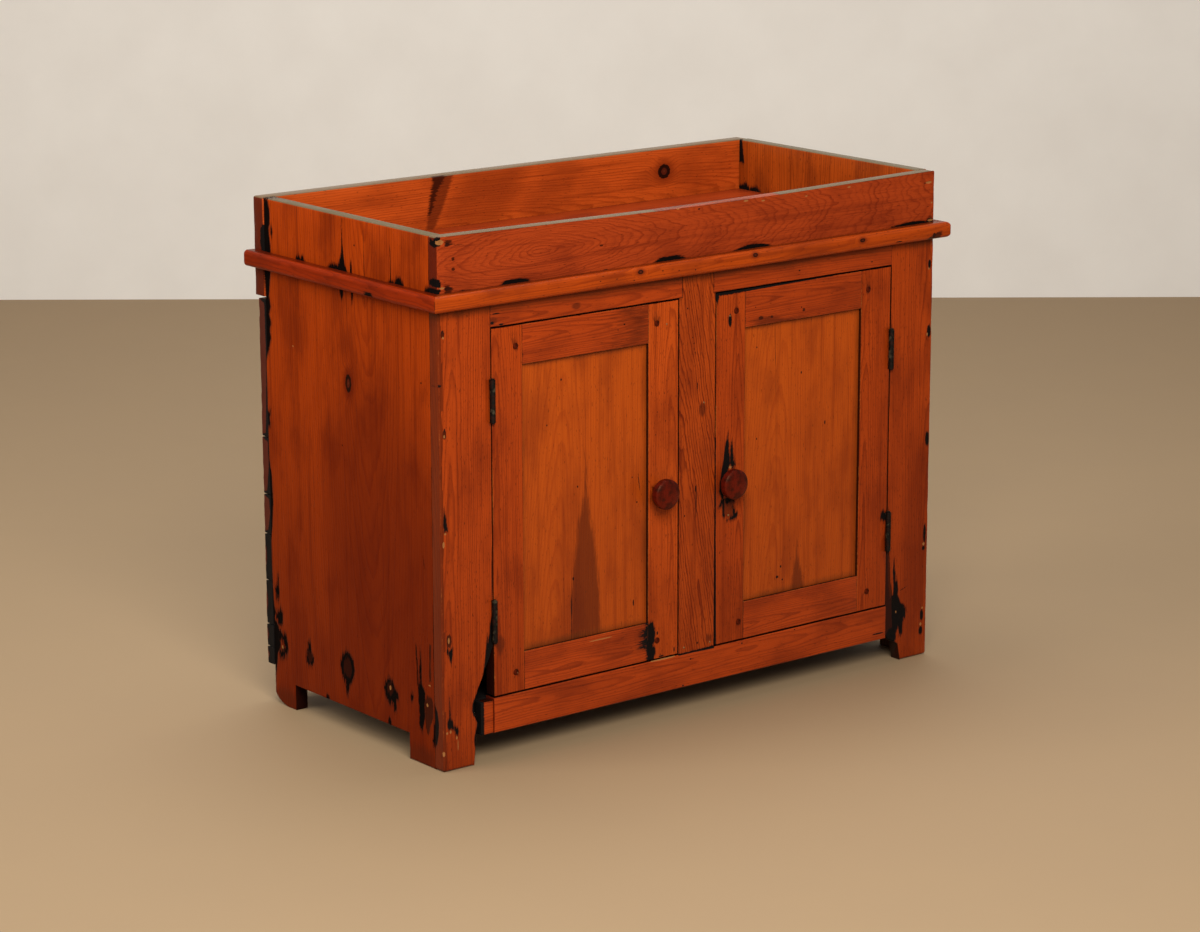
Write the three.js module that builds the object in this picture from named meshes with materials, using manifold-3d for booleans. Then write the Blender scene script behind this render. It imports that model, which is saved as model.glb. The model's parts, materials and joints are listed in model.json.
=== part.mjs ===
// A pine dry sink: a two-door cupboard under a shallow open well with a raised rim.
// Millimetres, +Z up. The front faces -Y and the origin is at the bottom centre of the whole box.
import * as THREE from "three";
import { mergeVertices } from "three/addons/utils/BufferGeometryUtils.js";
import Module from "manifold-3d";

const wasm = await Module();
wasm.setup();

// Driving dimensions of the case
const caseWidth = 975;
const caseHeight = 800;
const faceThickness = 21;
const sideThickness = 22;
const sideDepth = 430.4;
const lowerBackThickness = 18;
const upperBackThickness = 26;

// Gap between two boards that touch, gap around a joint inside the wood, and how far a cutter overruns
const seam = 0.3;
const jointClearance = 0.3;
const overrun = 5;
const weldTolerance = 0.0001;

// Feet and the arch between them
const archHeight = 41;
const frontFootReach = 86;
const backFootReach = 60;
const heelDepth = 46;
const heelHeight = 26;
const heelFacets = 8;

// Face frame, from left to right and from the floor up
const leftStileWidth = 93;
const leftOpening = 355.7;
const centreStileWidth = 71.3;
const rightStileWidth = 90;
const leftFootWidth = 56;
const rightFootWidth = 57;
const bottomRailBase = 43;
const bottomRailTop = 97;
const topRailHeight = 48;
const centreHeadLeftLap = 6;
const centreHeadRightLap = 4;

// Tenons of the face frame
const frameTenonThickness = 8;
const frameTenonLength = 28;
const frameTenonShoulder = 7;
const bareTenonSetBack = 3;
const bareTenonLength = 22;
const bareTenonDrop = 4;
const centreTenonLength = 20;

// Rotted inner edges of the two outer stiles, as shares of the stile's width and of the bottom rail's top
const leftRotWidthShares = [1, 0.93, 0.84, 0.775, 0.68, 0.62, 0.6, 0.64, 0.7, 0.655];
const leftRotHeightShares = [1.85, 1.66, 1.5, 1.37, 1.19, 1.03, 0.9, 0.76, 0.645, 0.54];
const rightRotWidthShares = [1, 0.93, 0.8, 0.7];
const rightRotHeightShares = [0.52, 0.42, 0.36, 0.3];

// The well: its floor, its front board and the raised back board. The front board's top edge is a curve whose
// middle control point lies wellFrontSag below its ends
const wellFrontHeight = 94;
const wellDepth = 83;
const wellFloorThickness = 22;
const wellFrontSag = 11;
const wearFacets = 12;
const upperBackHeight = 153;

// Cupboard floor, and the housings that the two floors stand in
const cupboardFloorTop = 94;
const cupboardFloorThickness = 20;
const housingDepth = 6;
const floorShoulder = 6;
const floorSplitShare = 0.54;

// Back boards below the well, by where their joints fall in the height that they cover
const lowerBackBase = 60;
const upperBackGap = 4.5;
const lowerBackGap = 2;
const lowerBackJointShares = [0.048, 0.11, 0.232, 0.361, 0.47, 0.627];

// Moulding round the front and the sides
const mouldingDrop = 107;
const mouldingHeight = 25;
const mouldingProjection = 19;
const mouldingRound = 7;
const mouldingRoundFacets = 5;

// Doors, inset in their openings
const doorThickness = 21;
const doorTopGap = 2.6;
const doorBottomGap = 2.8;
const doorMeetingGap = 2;
const doorHingeGap = 2;
const doorRailHeight = 59.5;
const leftHingeStileWidth = 55.5;
const rightHingeStileWidth = 62;
const meetingStileWidth = 58;
const panelSetBack = 6;
const panelThickness = 8.5;
const panelGrooveDepth = 9;
const panelPlay = 1.5;
const doorTenonLength = 42;
const doorTenonShoulder = 8;

// Pegs through the door tenons, by shares of the stile's width from its inner edge and of the rail's height
const pegRadius = 4.2;
const pegProud = 0.5;
const pegFacets = 12;
const pegPlaces = [
  { name: "top", stile: "hinge", widthShares: [0.21, 0.23], heightShare: 0.48 },
  { name: "bottom", stile: "hinge", widthShares: [0.28, 0.34], heightShare: 0.5 },
  { name: "top", stile: "meeting", widthShares: [0.28, 0.31], heightShare: 0.48 },
  { name: "bottom", stile: "meeting", widthShares: [0.3, 0.17], heightShare: 0.48 },
];

// Turned knobs. Their places are shares of the meeting stile's width and of the door's height
const knobReach = 30;
const knobRadius = 23.5;
const knobRimSetBack = 5;
const knobConeDepth = 11;
const knobNeckRadius = 9.5;
const knobNeckLength = 5;
const knobTenonRadius = 6.5;
const knobTenonLength = 15;
const knobDomeFacets = 5;
const knobFacets = 40;
const leftKnobHeightShare = 0.4755;
const rightKnobHeightShare = 0.4656;
const leftKnobWidthShare = 0.29;
const rightKnobWidthShare = 0.66;

// Cast butt hinges. Their places are shares of the door's height
const hingeHeight = 63.5;
const hingeLeafReach = 18.5;
const hingeLeafThickness = 1.8;
const hingeLeafGap = 0.8;
const hingeBarrelRadius = 4.2;
const hingeAxisProud = 3.2;
const hingePinRadius = 2.2;
const hingePinClearance = 0.3;
const hingePinHeadRadius = 2.9;
const hingePinHeadHeight = 1.6;
const hingeKnuckles = 5;
const hingeKnuckleGap = 0.4;
const hingeLeafRelief = 0.5;
const barrelRelief = 0.6;
const barrelFacets = 20;
const leftHingeShares = { upper: 0.8085, lower: 0.2091 };
const rightHingeShares = { upper: 0.761, lower: 0.2217 };

// Stations across the case, worked out from the sizes above
const sideFront = faceThickness + seam;
const sideBack = sideFront + sideDepth;
const backFront = sideBack + seam;
const lowerBackRear = backFront + lowerBackThickness;
const upperBackRear = backFront + upperBackThickness;
const leftDoorway = [leftStileWidth, leftStileWidth + leftOpening];
const centreStile = [leftDoorway[1], leftDoorway[1] + centreStileWidth];
const rightDoorway = [centreStile[1], caseWidth - rightStileWidth];
const frameTop = caseHeight - wellFrontHeight;
const topRailBase = frameTop - topRailHeight;
const wellFloorTop = caseHeight - wellDepth;
const upperBackBase = caseHeight - upperBackHeight;
const lowerBackTop = upperBackBase - upperBackGap;
const mouldingBase = caseHeight - mouldingDrop;
const doorHeights = [bottomRailTop + doorBottomGap, topRailBase - doorTopGap];
const upTheDoor = (share) => doorHeights[0] + share * (doorHeights[1] - doorHeights[0]);
const hingeHeightsFrom = (shares) => ({ upper: upTheDoor(shares.upper), lower: upTheDoor(shares.lower) });
const leftHingeHeights = hingeHeightsFrom(leftHingeShares);
const rightHingeHeights = hingeHeightsFrom(rightHingeShares);
const leftHingeAxis = leftDoorway[0] + doorHingeGap / 2;
const rightHingeAxis = rightDoorway[1] - doorHingeGap / 2;

const woods = {
  side: new THREE.MeshStandardMaterial({ color: 0x9c3a10, roughness: 0.42, metalness: 0 }),
  frame: new THREE.MeshStandardMaterial({ color: 0xa8440f, roughness: 0.42, metalness: 0 }),
  rail: new THREE.MeshStandardMaterial({ color: 0xa03c0e, roughness: 0.42, metalness: 0 }),
  panel: new THREE.MeshStandardMaterial({ color: 0xb05512, roughness: 0.45, metalness: 0 }),
  well: new THREE.MeshStandardMaterial({ color: 0xa0400f, roughness: 0.42, metalness: 0 }),
  moulding: new THREE.MeshStandardMaterial({ color: 0xb8500f, roughness: 0.38, metalness: 0 }),
  inside: new THREE.MeshStandardMaterial({ color: 0x8a5a34, roughness: 0.75, metalness: 0 }),
  back: new THREE.MeshStandardMaterial({ color: 0x5e2a1e, roughness: 0.7, metalness: 0 }),
  knob: new THREE.MeshStandardMaterial({ color: 0x5a2318, roughness: 0.35, metalness: 0 }),
  peg: new THREE.MeshStandardMaterial({ color: 0x6e2a10, roughness: 0.5, metalness: 0 }),
};
const iron = new THREE.MeshStandardMaterial({ color: 0x1d1916, roughness: 0.55, metalness: 0.8 });

const cabinet = new THREE.Group();
const cabinetDepthCentre = (upperBackRear - knobReach) / 2;
cabinet.position.set(-caseWidth / 2, -cabinetDepthCentre, 0);

// A closed three.js geometry as a solid that can be joined and cut
function solid(geometry) {
  geometry.deleteAttribute("normal");
  geometry.deleteAttribute("uv");
  const merged = mergeVertices(geometry, weldTolerance);
  return new wasm.Manifold(
    new wasm.Mesh({
      numProp: 3,
      vertProperties: merged.attributes.position.array,
      triVerts: new Uint32Array(merged.index.array),
    }),
  );
}

// A solid as a named mesh of the cabinet
function place(name, body, material) {
  const mesh = body.getMesh();
  const geometry = new THREE.BufferGeometry();
  geometry.setAttribute("position", new THREE.BufferAttribute(mesh.vertProperties, mesh.numProp));
  geometry.setIndex(new THREE.BufferAttribute(mesh.triVerts, 1));
  geometry.computeVertexNormals();
  const piece = new THREE.Mesh(geometry, material);
  piece.name = name;
  cabinet.add(piece);
}

const span = ([low, high]) => high - low;
const middle = ([low, high]) => (low + high) / 2;
const grown = ([low, high], by) => [low - by, high + by];
const mirrored = ([low, high]) => [caseWidth - high, caseWidth - low];

// A squared block between two faces on each axis
function block(x, y, z) {
  const geometry = new THREE.BoxGeometry(span(x), span(y), span(z));
  return solid(geometry.translate(middle(x), middle(y), middle(z)));
}

// A board sawn to an outline seen from the front, X across and Z up, between two depths
function frontBoard(outline, y, curveSegments = 1) {
  const cut = { depth: span(y), bevelEnabled: false, curveSegments };
  const geometry = new THREE.ExtrudeGeometry(outline, cut);
  return solid(geometry.rotateX(Math.PI / 2).translate(0, y[1], 0));
}

// A board sawn to an outline seen from the side, Y across and Z up, between two places along X
function sideBoard(outline, x, curveSegments = 1) {
  const cut = { depth: span(x), bevelEnabled: false, curveSegments };
  const geometry = new THREE.ExtrudeGeometry(outline, cut);
  const turn = new THREE.Matrix4().makeBasis(
    new THREE.Vector3(0, 1, 0),
    new THREE.Vector3(0, 0, 1),
    new THREE.Vector3(1, 0, 0),
  );
  return solid(geometry.applyMatrix4(turn).translate(x[0], 0, 0));
}

// A round bar along Y, for peg holes
function barAlongY(radius, x, z, y, facets) {
  const geometry = new THREE.CylinderGeometry(radius, radius, span(y), facets);
  return solid(geometry.translate(x, middle(y), z));
}

// A round bar along Z, for hinge barrels and bores
function barAlongZ(radius, x, y, z, facets) {
  const geometry = new THREE.CylinderGeometry(radius, radius, span(z), facets);
  return solid(geometry.rotateX(Math.PI / 2).translate(x, y, middle(z)));
}

// The two side boards, with their feet, arch, rounded heel and the housings for both floors
const wellFloorHeights = [wellFloorTop - wellFloorThickness, wellFloorTop];
const cupboardFloorHeights = [cupboardFloorTop - cupboardFloorThickness, cupboardFloorTop];

function sideOutline() {
  const outline = new THREE.Shape();
  outline.moveTo(sideFront, 0);
  outline.lineTo(frontFootReach, 0);
  outline.lineTo(frontFootReach, archHeight);
  outline.lineTo(sideBack - backFootReach, archHeight);
  outline.lineTo(sideBack - backFootReach, 0);
  outline.lineTo(sideBack - heelDepth, 0);
  const heelStart = -Math.PI / 2;
  outline.absellipse(sideBack - heelDepth, heelHeight, heelDepth, heelHeight, heelStart, 0, false, 0);
  outline.lineTo(sideBack, caseHeight);
  outline.lineTo(sideFront, caseHeight);
  outline.closePath();
  return outline;
}

function makeSide(name, x, housing) {
  let board = sideBoard(sideOutline(), x, heelFacets);
  const depths = grown([sideFront, sideBack], overrun);
  for (const [base, top] of [wellFloorHeights, cupboardFloorHeights]) {
    const heights = grown([base, top - floorShoulder], jointClearance);
    board = board.subtract(block(housing, depths, heights));
  }
  place(name, board, woods.side);
}

const leftSide = [0, sideThickness];
const leftHousing = [sideThickness - housingDepth, sideThickness + overrun];
makeSide("side_board_left", leftSide, leftHousing);
makeSide("side_board_right", mirrored(leftSide), mirrored(leftHousing));

// Two boards make each floor. Their ends are housed in the sides below a shoulder
function makeFloor(name, heights, material) {
  const inside = [sideThickness, caseWidth - sideThickness];
  const tongueHeights = [heights[0], heights[1] - floorShoulder];
  const split = sideFront + sideDepth * floorSplitShare;
  const boards = { front: [sideFront, split - seam / 2], back: [split + seam / 2, sideBack] };
  for (const [which, depths] of Object.entries(boards)) {
    const tongues = block(grown(inside, housingDepth - jointClearance), depths, tongueHeights);
    place(name + "_" + which, block(grown(inside, -seam), depths, heights).add(tongues), material);
  }
}
makeFloor("well_floor", wellFloorHeights, woods.well);
makeFloor("cupboard_floor", cupboardFloorHeights, woods.inside);

// Face frame. Every tenon lies at the same depth behind the face
const faceDepths = [0, faceThickness];
const tenonFront = (faceThickness - frameTenonThickness) / 2;
const tenonDepths = [tenonFront, tenonFront + frameTenonThickness];
const mortiseDepths = grown(tenonDepths, jointClearance);
const frameHeights = [0, frameTop - seam];
const topRailHeights = [topRailBase, frameTop - seam];
const bottomRailHeights = [bottomRailBase, bottomRailTop];
const topTenonHeights = grown(topRailHeights, -frameTenonShoulder);
const bottomTenonHeights = grown(bottomRailHeights, -frameTenonShoulder);
const centreHead = [centreStile[0] + centreHeadLeftLap, centreStile[1] - centreHeadRightLap];

// The mortise of a tenon that enters a stile from one edge
function mortise(edge, towards, heights) {
  const bottom = edge + towards * (frameTenonLength + jointClearance);
  const mouth = edge - towards * overrun;
  const x = [Math.min(bottom, mouth), Math.max(bottom, mouth)];
  return block(x, mortiseDepths, grown(heights, jointClearance));
}

// The seat of a hinge leaf and of its barrel in the edge of a stile or a door
function hingeSeat(axisX, towards, height) {
  const heights = grown([height - hingeHeight / 2, height + hingeHeight / 2], jointClearance);
  const face = axisX + towards * (hingeLeafGap / 2 + hingeLeafThickness + jointClearance);
  const x = [Math.min(axisX, face), Math.max(axisX, face)];
  const depths = [-overrun, hingeLeafReach + jointClearance];
  const round = barAlongZ(hingeBarrelRadius + barrelRelief, axisX, -hingeAxisProud, heights, barrelFacets);
  return block(x, depths, heights).add(round);
}

// The outline of an outer stile: a straight outer edge and an inner edge that rot and wear have eaten near the foot
function outerStileOutline(width, footWidth, widthShares, heightShares, flip) {
  const across = (reach) => (flip ? caseWidth - reach : reach);
  const corners = [[0, 0], [0, frameHeights[1]], [width, frameHeights[1]]];
  widthShares.forEach((share, i) => corners.push([share * width, heightShares[i] * bottomRailTop]));
  corners.push([footWidth, 0]);
  if (!flip) corners.reverse();
  return new THREE.Shape(corners.map(([reach, height]) => new THREE.Vector2(across(reach), height)));
}

function makeLeftStile() {
  const outline = outerStileOutline(
    leftStileWidth,
    leftFootWidth,
    leftRotWidthShares,
    leftRotHeightShares,
    false,
  );
  let stile = frontBoard(outline, faceDepths);
  stile = stile.subtract(mortise(leftStileWidth, -1, topTenonHeights));
  for (const height of Object.values(leftHingeHeights)) {
    stile = stile.subtract(hingeSeat(leftHingeAxis, -1, height));
  }
  place("face_stile_left", stile, woods.frame);
}

function makeRightStile() {
  const outline = outerStileOutline(
    rightStileWidth,
    rightFootWidth,
    rightRotWidthShares,
    rightRotHeightShares,
    true,
  );
  let stile = frontBoard(outline, faceDepths);
  stile = stile.subtract(mortise(rightDoorway[1], 1, topTenonHeights));
  stile = stile.subtract(mortise(rightDoorway[1], 1, bottomTenonHeights));
  for (const height of Object.values(rightHingeHeights)) {
    stile = stile.subtract(hingeSeat(rightHingeAxis, 1, height));
  }
  place("face_stile_right", stile, woods.frame);
}

// The centre stile stands on the bottom rail, and its head is narrowed where the top rails lap it
function makeCentreStile() {
  const shoulder = topRailBase - seam;
  const base = bottomRailTop + seam;
  const outline = new THREE.Shape([
    new THREE.Vector2(centreStile[0], base),
    new THREE.Vector2(centreStile[1], base),
    new THREE.Vector2(centreStile[1], shoulder),
    new THREE.Vector2(centreHead[1], shoulder),
    new THREE.Vector2(centreHead[1], frameHeights[1]),
    new THREE.Vector2(centreHead[0], frameHeights[1]),
    new THREE.Vector2(centreHead[0], shoulder),
    new THREE.Vector2(centreStile[0], shoulder),
  ]);
  let stile = frontBoard(outline, faceDepths);
  const stub = grown(centreStile, -frameTenonShoulder);
  stile = stile.add(block(stub, tenonDepths, [bottomRailTop - centreTenonLength, base + overrun]));
  stile = stile.subtract(mortise(centreHead[0], 1, topTenonHeights));
  stile = stile.subtract(mortise(centreHead[1], -1, topTenonHeights));
  place("face_stile_centre", stile, woods.frame);
}

// A top rail between two stiles, with a tenon at each end
function makeTopRail(name, x) {
  const length = grown(x, -seam);
  const rail = block(length, faceDepths, topRailHeights);
  const tenons = block(grown(x, frameTenonLength), tenonDepths, topTenonHeights);
  place(name, rail.add(tenons), woods.rail);
}

// The bottom rail. Its right tenon is hidden. Its left one shows where the stile has rotted away
function makeBottomRail() {
  let rail = block([leftStileWidth + seam, rightDoorway[1] - seam], faceDepths, bottomRailHeights);
  const inRail = leftStileWidth + overrun;
  const bareDepths = [bareTenonSetBack, faceThickness - bareTenonSetBack];
  const bareHeights = [bottomRailBase, bottomRailTop - bareTenonDrop];
  rail = rail.add(block([leftStileWidth - bareTenonLength, inRail], bareDepths, bareHeights));
  const hidden = [rightDoorway[1] - overrun, rightDoorway[1] + frameTenonLength];
  rail = rail.add(block(hidden, tenonDepths, bottomTenonHeights));
  const stub = grown(grown(centreStile, -frameTenonShoulder), jointClearance);
  const stubFloor = bottomRailTop - centreTenonLength - jointClearance;
  rail = rail.subtract(block(stub, mortiseDepths, [stubFloor, bottomRailTop + overrun]));
  place("bottom_rail", rail, woods.rail);
}

makeLeftStile();
makeRightStile();
makeCentreStile();
makeTopRail("top_rail_left", [leftStileWidth, centreHead[0]]);
makeTopRail("top_rail_right", [centreHead[1], rightDoorway[1]]);
makeBottomRail();

// The well's front board, nailed over the sides, its top edge worn hollow along the middle
function makeWellFront() {
  const outline = new THREE.Shape();
  outline.moveTo(0, frameTop);
  outline.lineTo(caseWidth, frameTop);
  outline.lineTo(caseWidth, caseHeight);
  const hollow = caseHeight - wellFrontSag;
  outline.quadraticCurveTo(caseWidth / 2, hollow, 0, caseHeight);
  outline.closePath();
  place("well_front_board", frontBoard(outline, faceDepths, wearFacets), woods.well);
}

makeWellFront();
const wellBack = block([0, caseWidth], [backFront, upperBackRear], [upperBackBase, caseHeight]);
place("well_back_board", wellBack, woods.well);

// Back boards below the well, nailed across the backs of the sides
function makeLowerBack() {
  const covered = lowerBackTop - lowerBackBase;
  const joints = lowerBackJointShares.map((share) => lowerBackBase + share * covered);
  const lows = [lowerBackBase, ...joints.map((joint) => joint + lowerBackGap / 2)];
  const highs = [...joints.map((joint) => joint - lowerBackGap / 2), lowerBackTop];
  lows.forEach((low, i) => {
    const board = block([0, caseWidth], [backFront, lowerBackRear], [low, highs[i]]);
    place("back_board_" + (i + 1), board, woods.back);
  });
}
makeLowerBack();

// Points of the moulding's section: how far out from the case, and how high
function mouldingSection() {
  const section = new THREE.Shape();
  const flat = mouldingProjection - mouldingRound;
  const low = mouldingBase;
  const high = mouldingBase + mouldingHeight;
  section.moveTo(seam, low);
  section.lineTo(flat, low);
  section.absarc(flat, low + mouldingRound, mouldingRound, -Math.PI / 2, 0, false);
  section.absarc(flat, high - mouldingRound, mouldingRound, 0, Math.PI / 2, false);
  section.lineTo(seam, high);
  return section.getPoints(mouldingRoundFacets);
}

// A strip of the moulding between two ends, each a function from the distance out to the place along the strip.
// toCase turns along, out and up into the case's own X, Y and Z, without mirroring
function makeMoulding(name, start, end, toCase) {
  const apart = (p, i, all) => i === 0 || p.distanceTo(all[i - 1]) > weldTolerance;
  const section = mouldingSection().filter(apart);
  const count = section.length;
  const corners = [start, end].flatMap((place) => section.map((p) => toCase(place(p.x), p.x, p.y)));
  const faces = [];
  for (let i = 0; i < count; i++) {
    const next = (i + 1) % count;
    faces.push(i, count + next, next, i, count + i, count + next);
  }
  for (const [a, b, c] of THREE.ShapeUtils.triangulateShape(section, [])) {
    faces.push(a, b, c, count + c, count + b, count + a);
  }
  const geometry = new THREE.BufferGeometry();
  geometry.setAttribute("position", new THREE.Float32BufferAttribute(corners.flat(), 3));
  geometry.setIndex(faces);
  place(name, solid(geometry), woods.moulding);
}

const mitreGap = seam / 2;
const frontStart = (out) => -out + mitreGap;
const frontEnd = (out) => caseWidth + out - mitreGap;
const sideStart = (out) => -out + mitreGap;
const sideEnd = () => upperBackRear;
makeMoulding("moulding_front", frontStart, frontEnd, (along, out, up) => [along, -out, up]);
makeMoulding("moulding_right", sideStart, sideEnd, (along, out, up) => [caseWidth + out, along, up]);
const backwards = (place) => (out) => -place(out);
makeMoulding("moulding_left", backwards(sideEnd), backwards(sideStart), (along, out, up) => [-out, -along, up]);

// One leaf of a butt hinge: its plate, and every other knuckle joined to it, bored for the pin.
// first is 0 for the leaf that has the end knuckles, towards is the side of the axis that its plate lies on
function hingeLeaf(axisX, towards, height, first) {
  const axisY = -hingeAxisProud;
  const bottom = height - hingeHeight / 2;
  const near = axisX + (towards * hingeLeafGap) / 2;
  const far = near + towards * hingeLeafThickness;
  const x = [Math.min(near, far), Math.max(near, far)];
  const plateStart = axisY + hingeBarrelRadius + hingeLeafRelief;
  let leaf = block(x, [plateStart, hingeLeafReach], [bottom, bottom + hingeHeight]);
  const pitch = hingeHeight / hingeKnuckles;
  for (let i = first; i < hingeKnuckles; i += 2) {
    const knuckleBase = bottom + i * pitch;
    const low = i === 0 ? knuckleBase : knuckleBase + hingeKnuckleGap / 2;
    const high = knuckleBase + pitch - (i === hingeKnuckles - 1 ? 0 : hingeKnuckleGap / 2);
    const web = block(x, [axisY, plateStart + hingeLeafRelief], [low, high]);
    leaf = leaf.add(barAlongZ(hingeBarrelRadius, axisX, axisY, [low, high], barrelFacets)).add(web);
  }
  const bore = grown([bottom, bottom + hingeHeight], overrun);
  return leaf.subtract(barAlongZ(hingePinRadius + hingePinClearance, axisX, axisY, bore, barrelFacets));
}

// The pin, with a flat head above and below the barrel
function hingePin(axisX, height) {
  const axisY = -hingeAxisProud;
  const bottom = height - hingeHeight / 2 - seam;
  const top = height + hingeHeight / 2 + seam;
  let pin = barAlongZ(hingePinRadius, axisX, axisY, [bottom, top], barrelFacets);
  const lowerHead = [bottom - hingePinHeadHeight, bottom];
  const upperHead = [top, top + hingePinHeadHeight];
  for (const heights of [lowerHead, upperHead]) {
    pin = pin.add(barAlongZ(hingePinHeadRadius, axisX, axisY, heights, barrelFacets));
  }
  return pin;
}

function makeHinge(side, which, axisX, height, doorTowards) {
  const name = side + "_" + which;
  place("hinge_frame_leaf_" + name, hingeLeaf(axisX, -doorTowards, height, 0), iron);
  place("hinge_door_leaf_" + name, hingeLeaf(axisX, doorTowards, height, 1), iron);
  place("hinge_pin_" + name, hingePin(axisX, height), iron);
}

for (const [which, height] of Object.entries(leftHingeHeights)) {
  makeHinge("left", which, leftHingeAxis, height, 1);
}
for (const [which, height] of Object.entries(rightHingeHeights)) {
  makeHinge("right", which, rightHingeAxis, height, -1);
}

// A turned knob: a tenon in the door, a neck, a cone that opens out, a rim and a domed face
function knob(x, z) {
  const rimFront = -(knobReach - knobRimSetBack);
  const profile = [
    new THREE.Vector2(0, knobTenonLength),
    new THREE.Vector2(knobTenonRadius, knobTenonLength),
    new THREE.Vector2(knobTenonRadius, -seam),
    new THREE.Vector2(knobNeckRadius, -seam),
    new THREE.Vector2(knobNeckRadius, -knobNeckLength),
    new THREE.Vector2(knobRadius, -knobNeckLength - knobConeDepth),
    new THREE.Vector2(knobRadius, rimFront),
  ];
  for (let i = 1; i <= knobDomeFacets; i++) {
    const angle = (i / knobDomeFacets) * (Math.PI / 2);
    const radius = i === knobDomeFacets ? 0 : knobRadius * Math.cos(angle);
    profile.push(new THREE.Vector2(radius, rimFront - knobRimSetBack * Math.sin(angle)));
  }
  profile.reverse();
  return solid(new THREE.LatheGeometry(profile, knobFacets).translate(x, 0, z));
}

// A frame-and-panel door. towards is the way from its hinge stile to its meeting stile along X
function makeDoor(side, hingeEdge, meetingEdge, towards, hingeStileWidth, hinges, knobX, knobZ, pegIndex) {
  const name = (part) => "door_" + side + "_" + part;
  const depths = [0, doorThickness];
  const between = (a, b) => [Math.min(a, b), Math.max(a, b)];
  const hingeInner = hingeEdge + towards * hingeStileWidth;
  const meetingInner = meetingEdge - towards * meetingStileWidth;
  const railHeights = {
    bottom: [doorHeights[0], doorHeights[0] + doorRailHeight],
    top: [doorHeights[1] - doorRailHeight, doorHeights[1]],
  };
  const panelDepths = [panelSetBack, panelSetBack + panelThickness];
  const grooveDepths = grown(panelDepths, jointClearance);
  const groove = {
    x: grown(between(hingeInner, meetingInner), panelGrooveDepth),
    z: grown([railHeights.bottom[1], railHeights.top[0]], panelGrooveDepth),
  };
  const grooveCut = block(groove.x, grooveDepths, groove.z);
  const tenonX = grown(between(hingeInner, meetingInner), doorTenonLength);
  const tenonHeights = {
    bottom: grown(railHeights.bottom, -doorTenonShoulder),
    top: grown(railHeights.top, -doorTenonShoulder),
  };
  const mortiseX = grown(tenonX, jointClearance);

  const pegs = pegPlaces.map((peg) => {
    const inner = peg.stile === "hinge" ? hingeInner : meetingInner;
    const outwards = peg.stile === "hinge" ? -towards : towards;
    const width = peg.stile === "hinge" ? hingeStileWidth : meetingStileWidth;
    const x = inner + outwards * width * peg.widthShares[pegIndex];
    const z = railHeights[peg.name][0] + doorRailHeight * peg.heightShare;
    return { name: "peg_" + peg.name + "_" + peg.stile, x, z };
  });
  const drill = (body) =>
    pegs.reduce((left, peg) => {
      const through = grown(depths, overrun);
      return left.subtract(barAlongY(pegRadius + jointClearance, peg.x, peg.z, through, pegFacets));
    }, body);

  const stiles = {
    hinge_stile: between(hingeEdge, hingeInner),
    meeting_stile: between(meetingInner, meetingEdge),
  };
  for (const [part, x] of Object.entries(stiles)) {
    let stile = block(x, depths, doorHeights).subtract(grooveCut);
    for (const heights of Object.values(tenonHeights)) {
      stile = stile.subtract(block(mortiseX, grooveDepths, grown(heights, jointClearance)));
    }
    if (part === "hinge_stile") {
      for (const height of Object.values(hinges.heights)) {
        stile = stile.subtract(hingeSeat(hinges.axis, towards, height));
      }
    } else {
      const holeDepths = [-overrun, knobTenonLength + jointClearance];
      const holeRadius = knobTenonRadius + jointClearance;
      stile = stile.subtract(barAlongY(holeRadius, knobX, knobZ, holeDepths, knobFacets));
    }
    place(name(part), drill(stile), woods.frame);
  }

  for (const [part, heights] of Object.entries(railHeights)) {
    const length = grown(between(hingeInner, meetingInner), -seam);
    const rail = block(length, depths, heights).subtract(grooveCut);
    const tenons = block(tenonX, panelDepths, tenonHeights[part]).subtract(grooveCut);
    place(name(part + "_rail"), drill(rail.add(tenons)), woods.rail);
  }

  const panel = block(grown(groove.x, -panelPlay), panelDepths, grown(groove.z, -panelPlay));
  place(name("panel"), panel, woods.panel);

  for (const peg of pegs) {
    const pegDepths = [-pegProud, doorThickness];
    place(name(peg.name), barAlongY(pegRadius, peg.x, peg.z, pegDepths, pegFacets), woods.peg);
  }
  place(name("knob"), knob(knobX, knobZ), woods.knob);
}

const leftMeetingEdge = leftDoorway[1] - doorMeetingGap;
const rightMeetingEdge = rightDoorway[0] + doorMeetingGap;
makeDoor(
  "left",
  leftDoorway[0] + doorHingeGap,
  leftMeetingEdge,
  1,
  leftHingeStileWidth,
  { axis: leftHingeAxis, heights: leftHingeHeights },
  leftMeetingEdge - meetingStileWidth * (1 - leftKnobWidthShare),
  upTheDoor(leftKnobHeightShare),
  0,
);
makeDoor(
  "right",
  rightDoorway[1] - doorHingeGap,
  rightMeetingEdge,
  -1,
  rightHingeStileWidth,
  { axis: rightHingeAxis, heights: rightHingeHeights },
  rightMeetingEdge + meetingStileWidth * (1 - rightKnobWidthShare),
  upTheDoor(rightKnobHeightShare),
  1,
);

export default cabinet;
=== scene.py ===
"""A pine dry sink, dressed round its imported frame: worn shellacked boards, turned knobs and iron hinges."""
import json
import logging
import math
from bisect import bisect
from dataclasses import dataclass, field, replace
from enum import Enum

import bmesh
import bpy
import numpy as np
from mathutils import Matrix, Vector, noise
from mathutils.kdtree import KDTree


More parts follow.
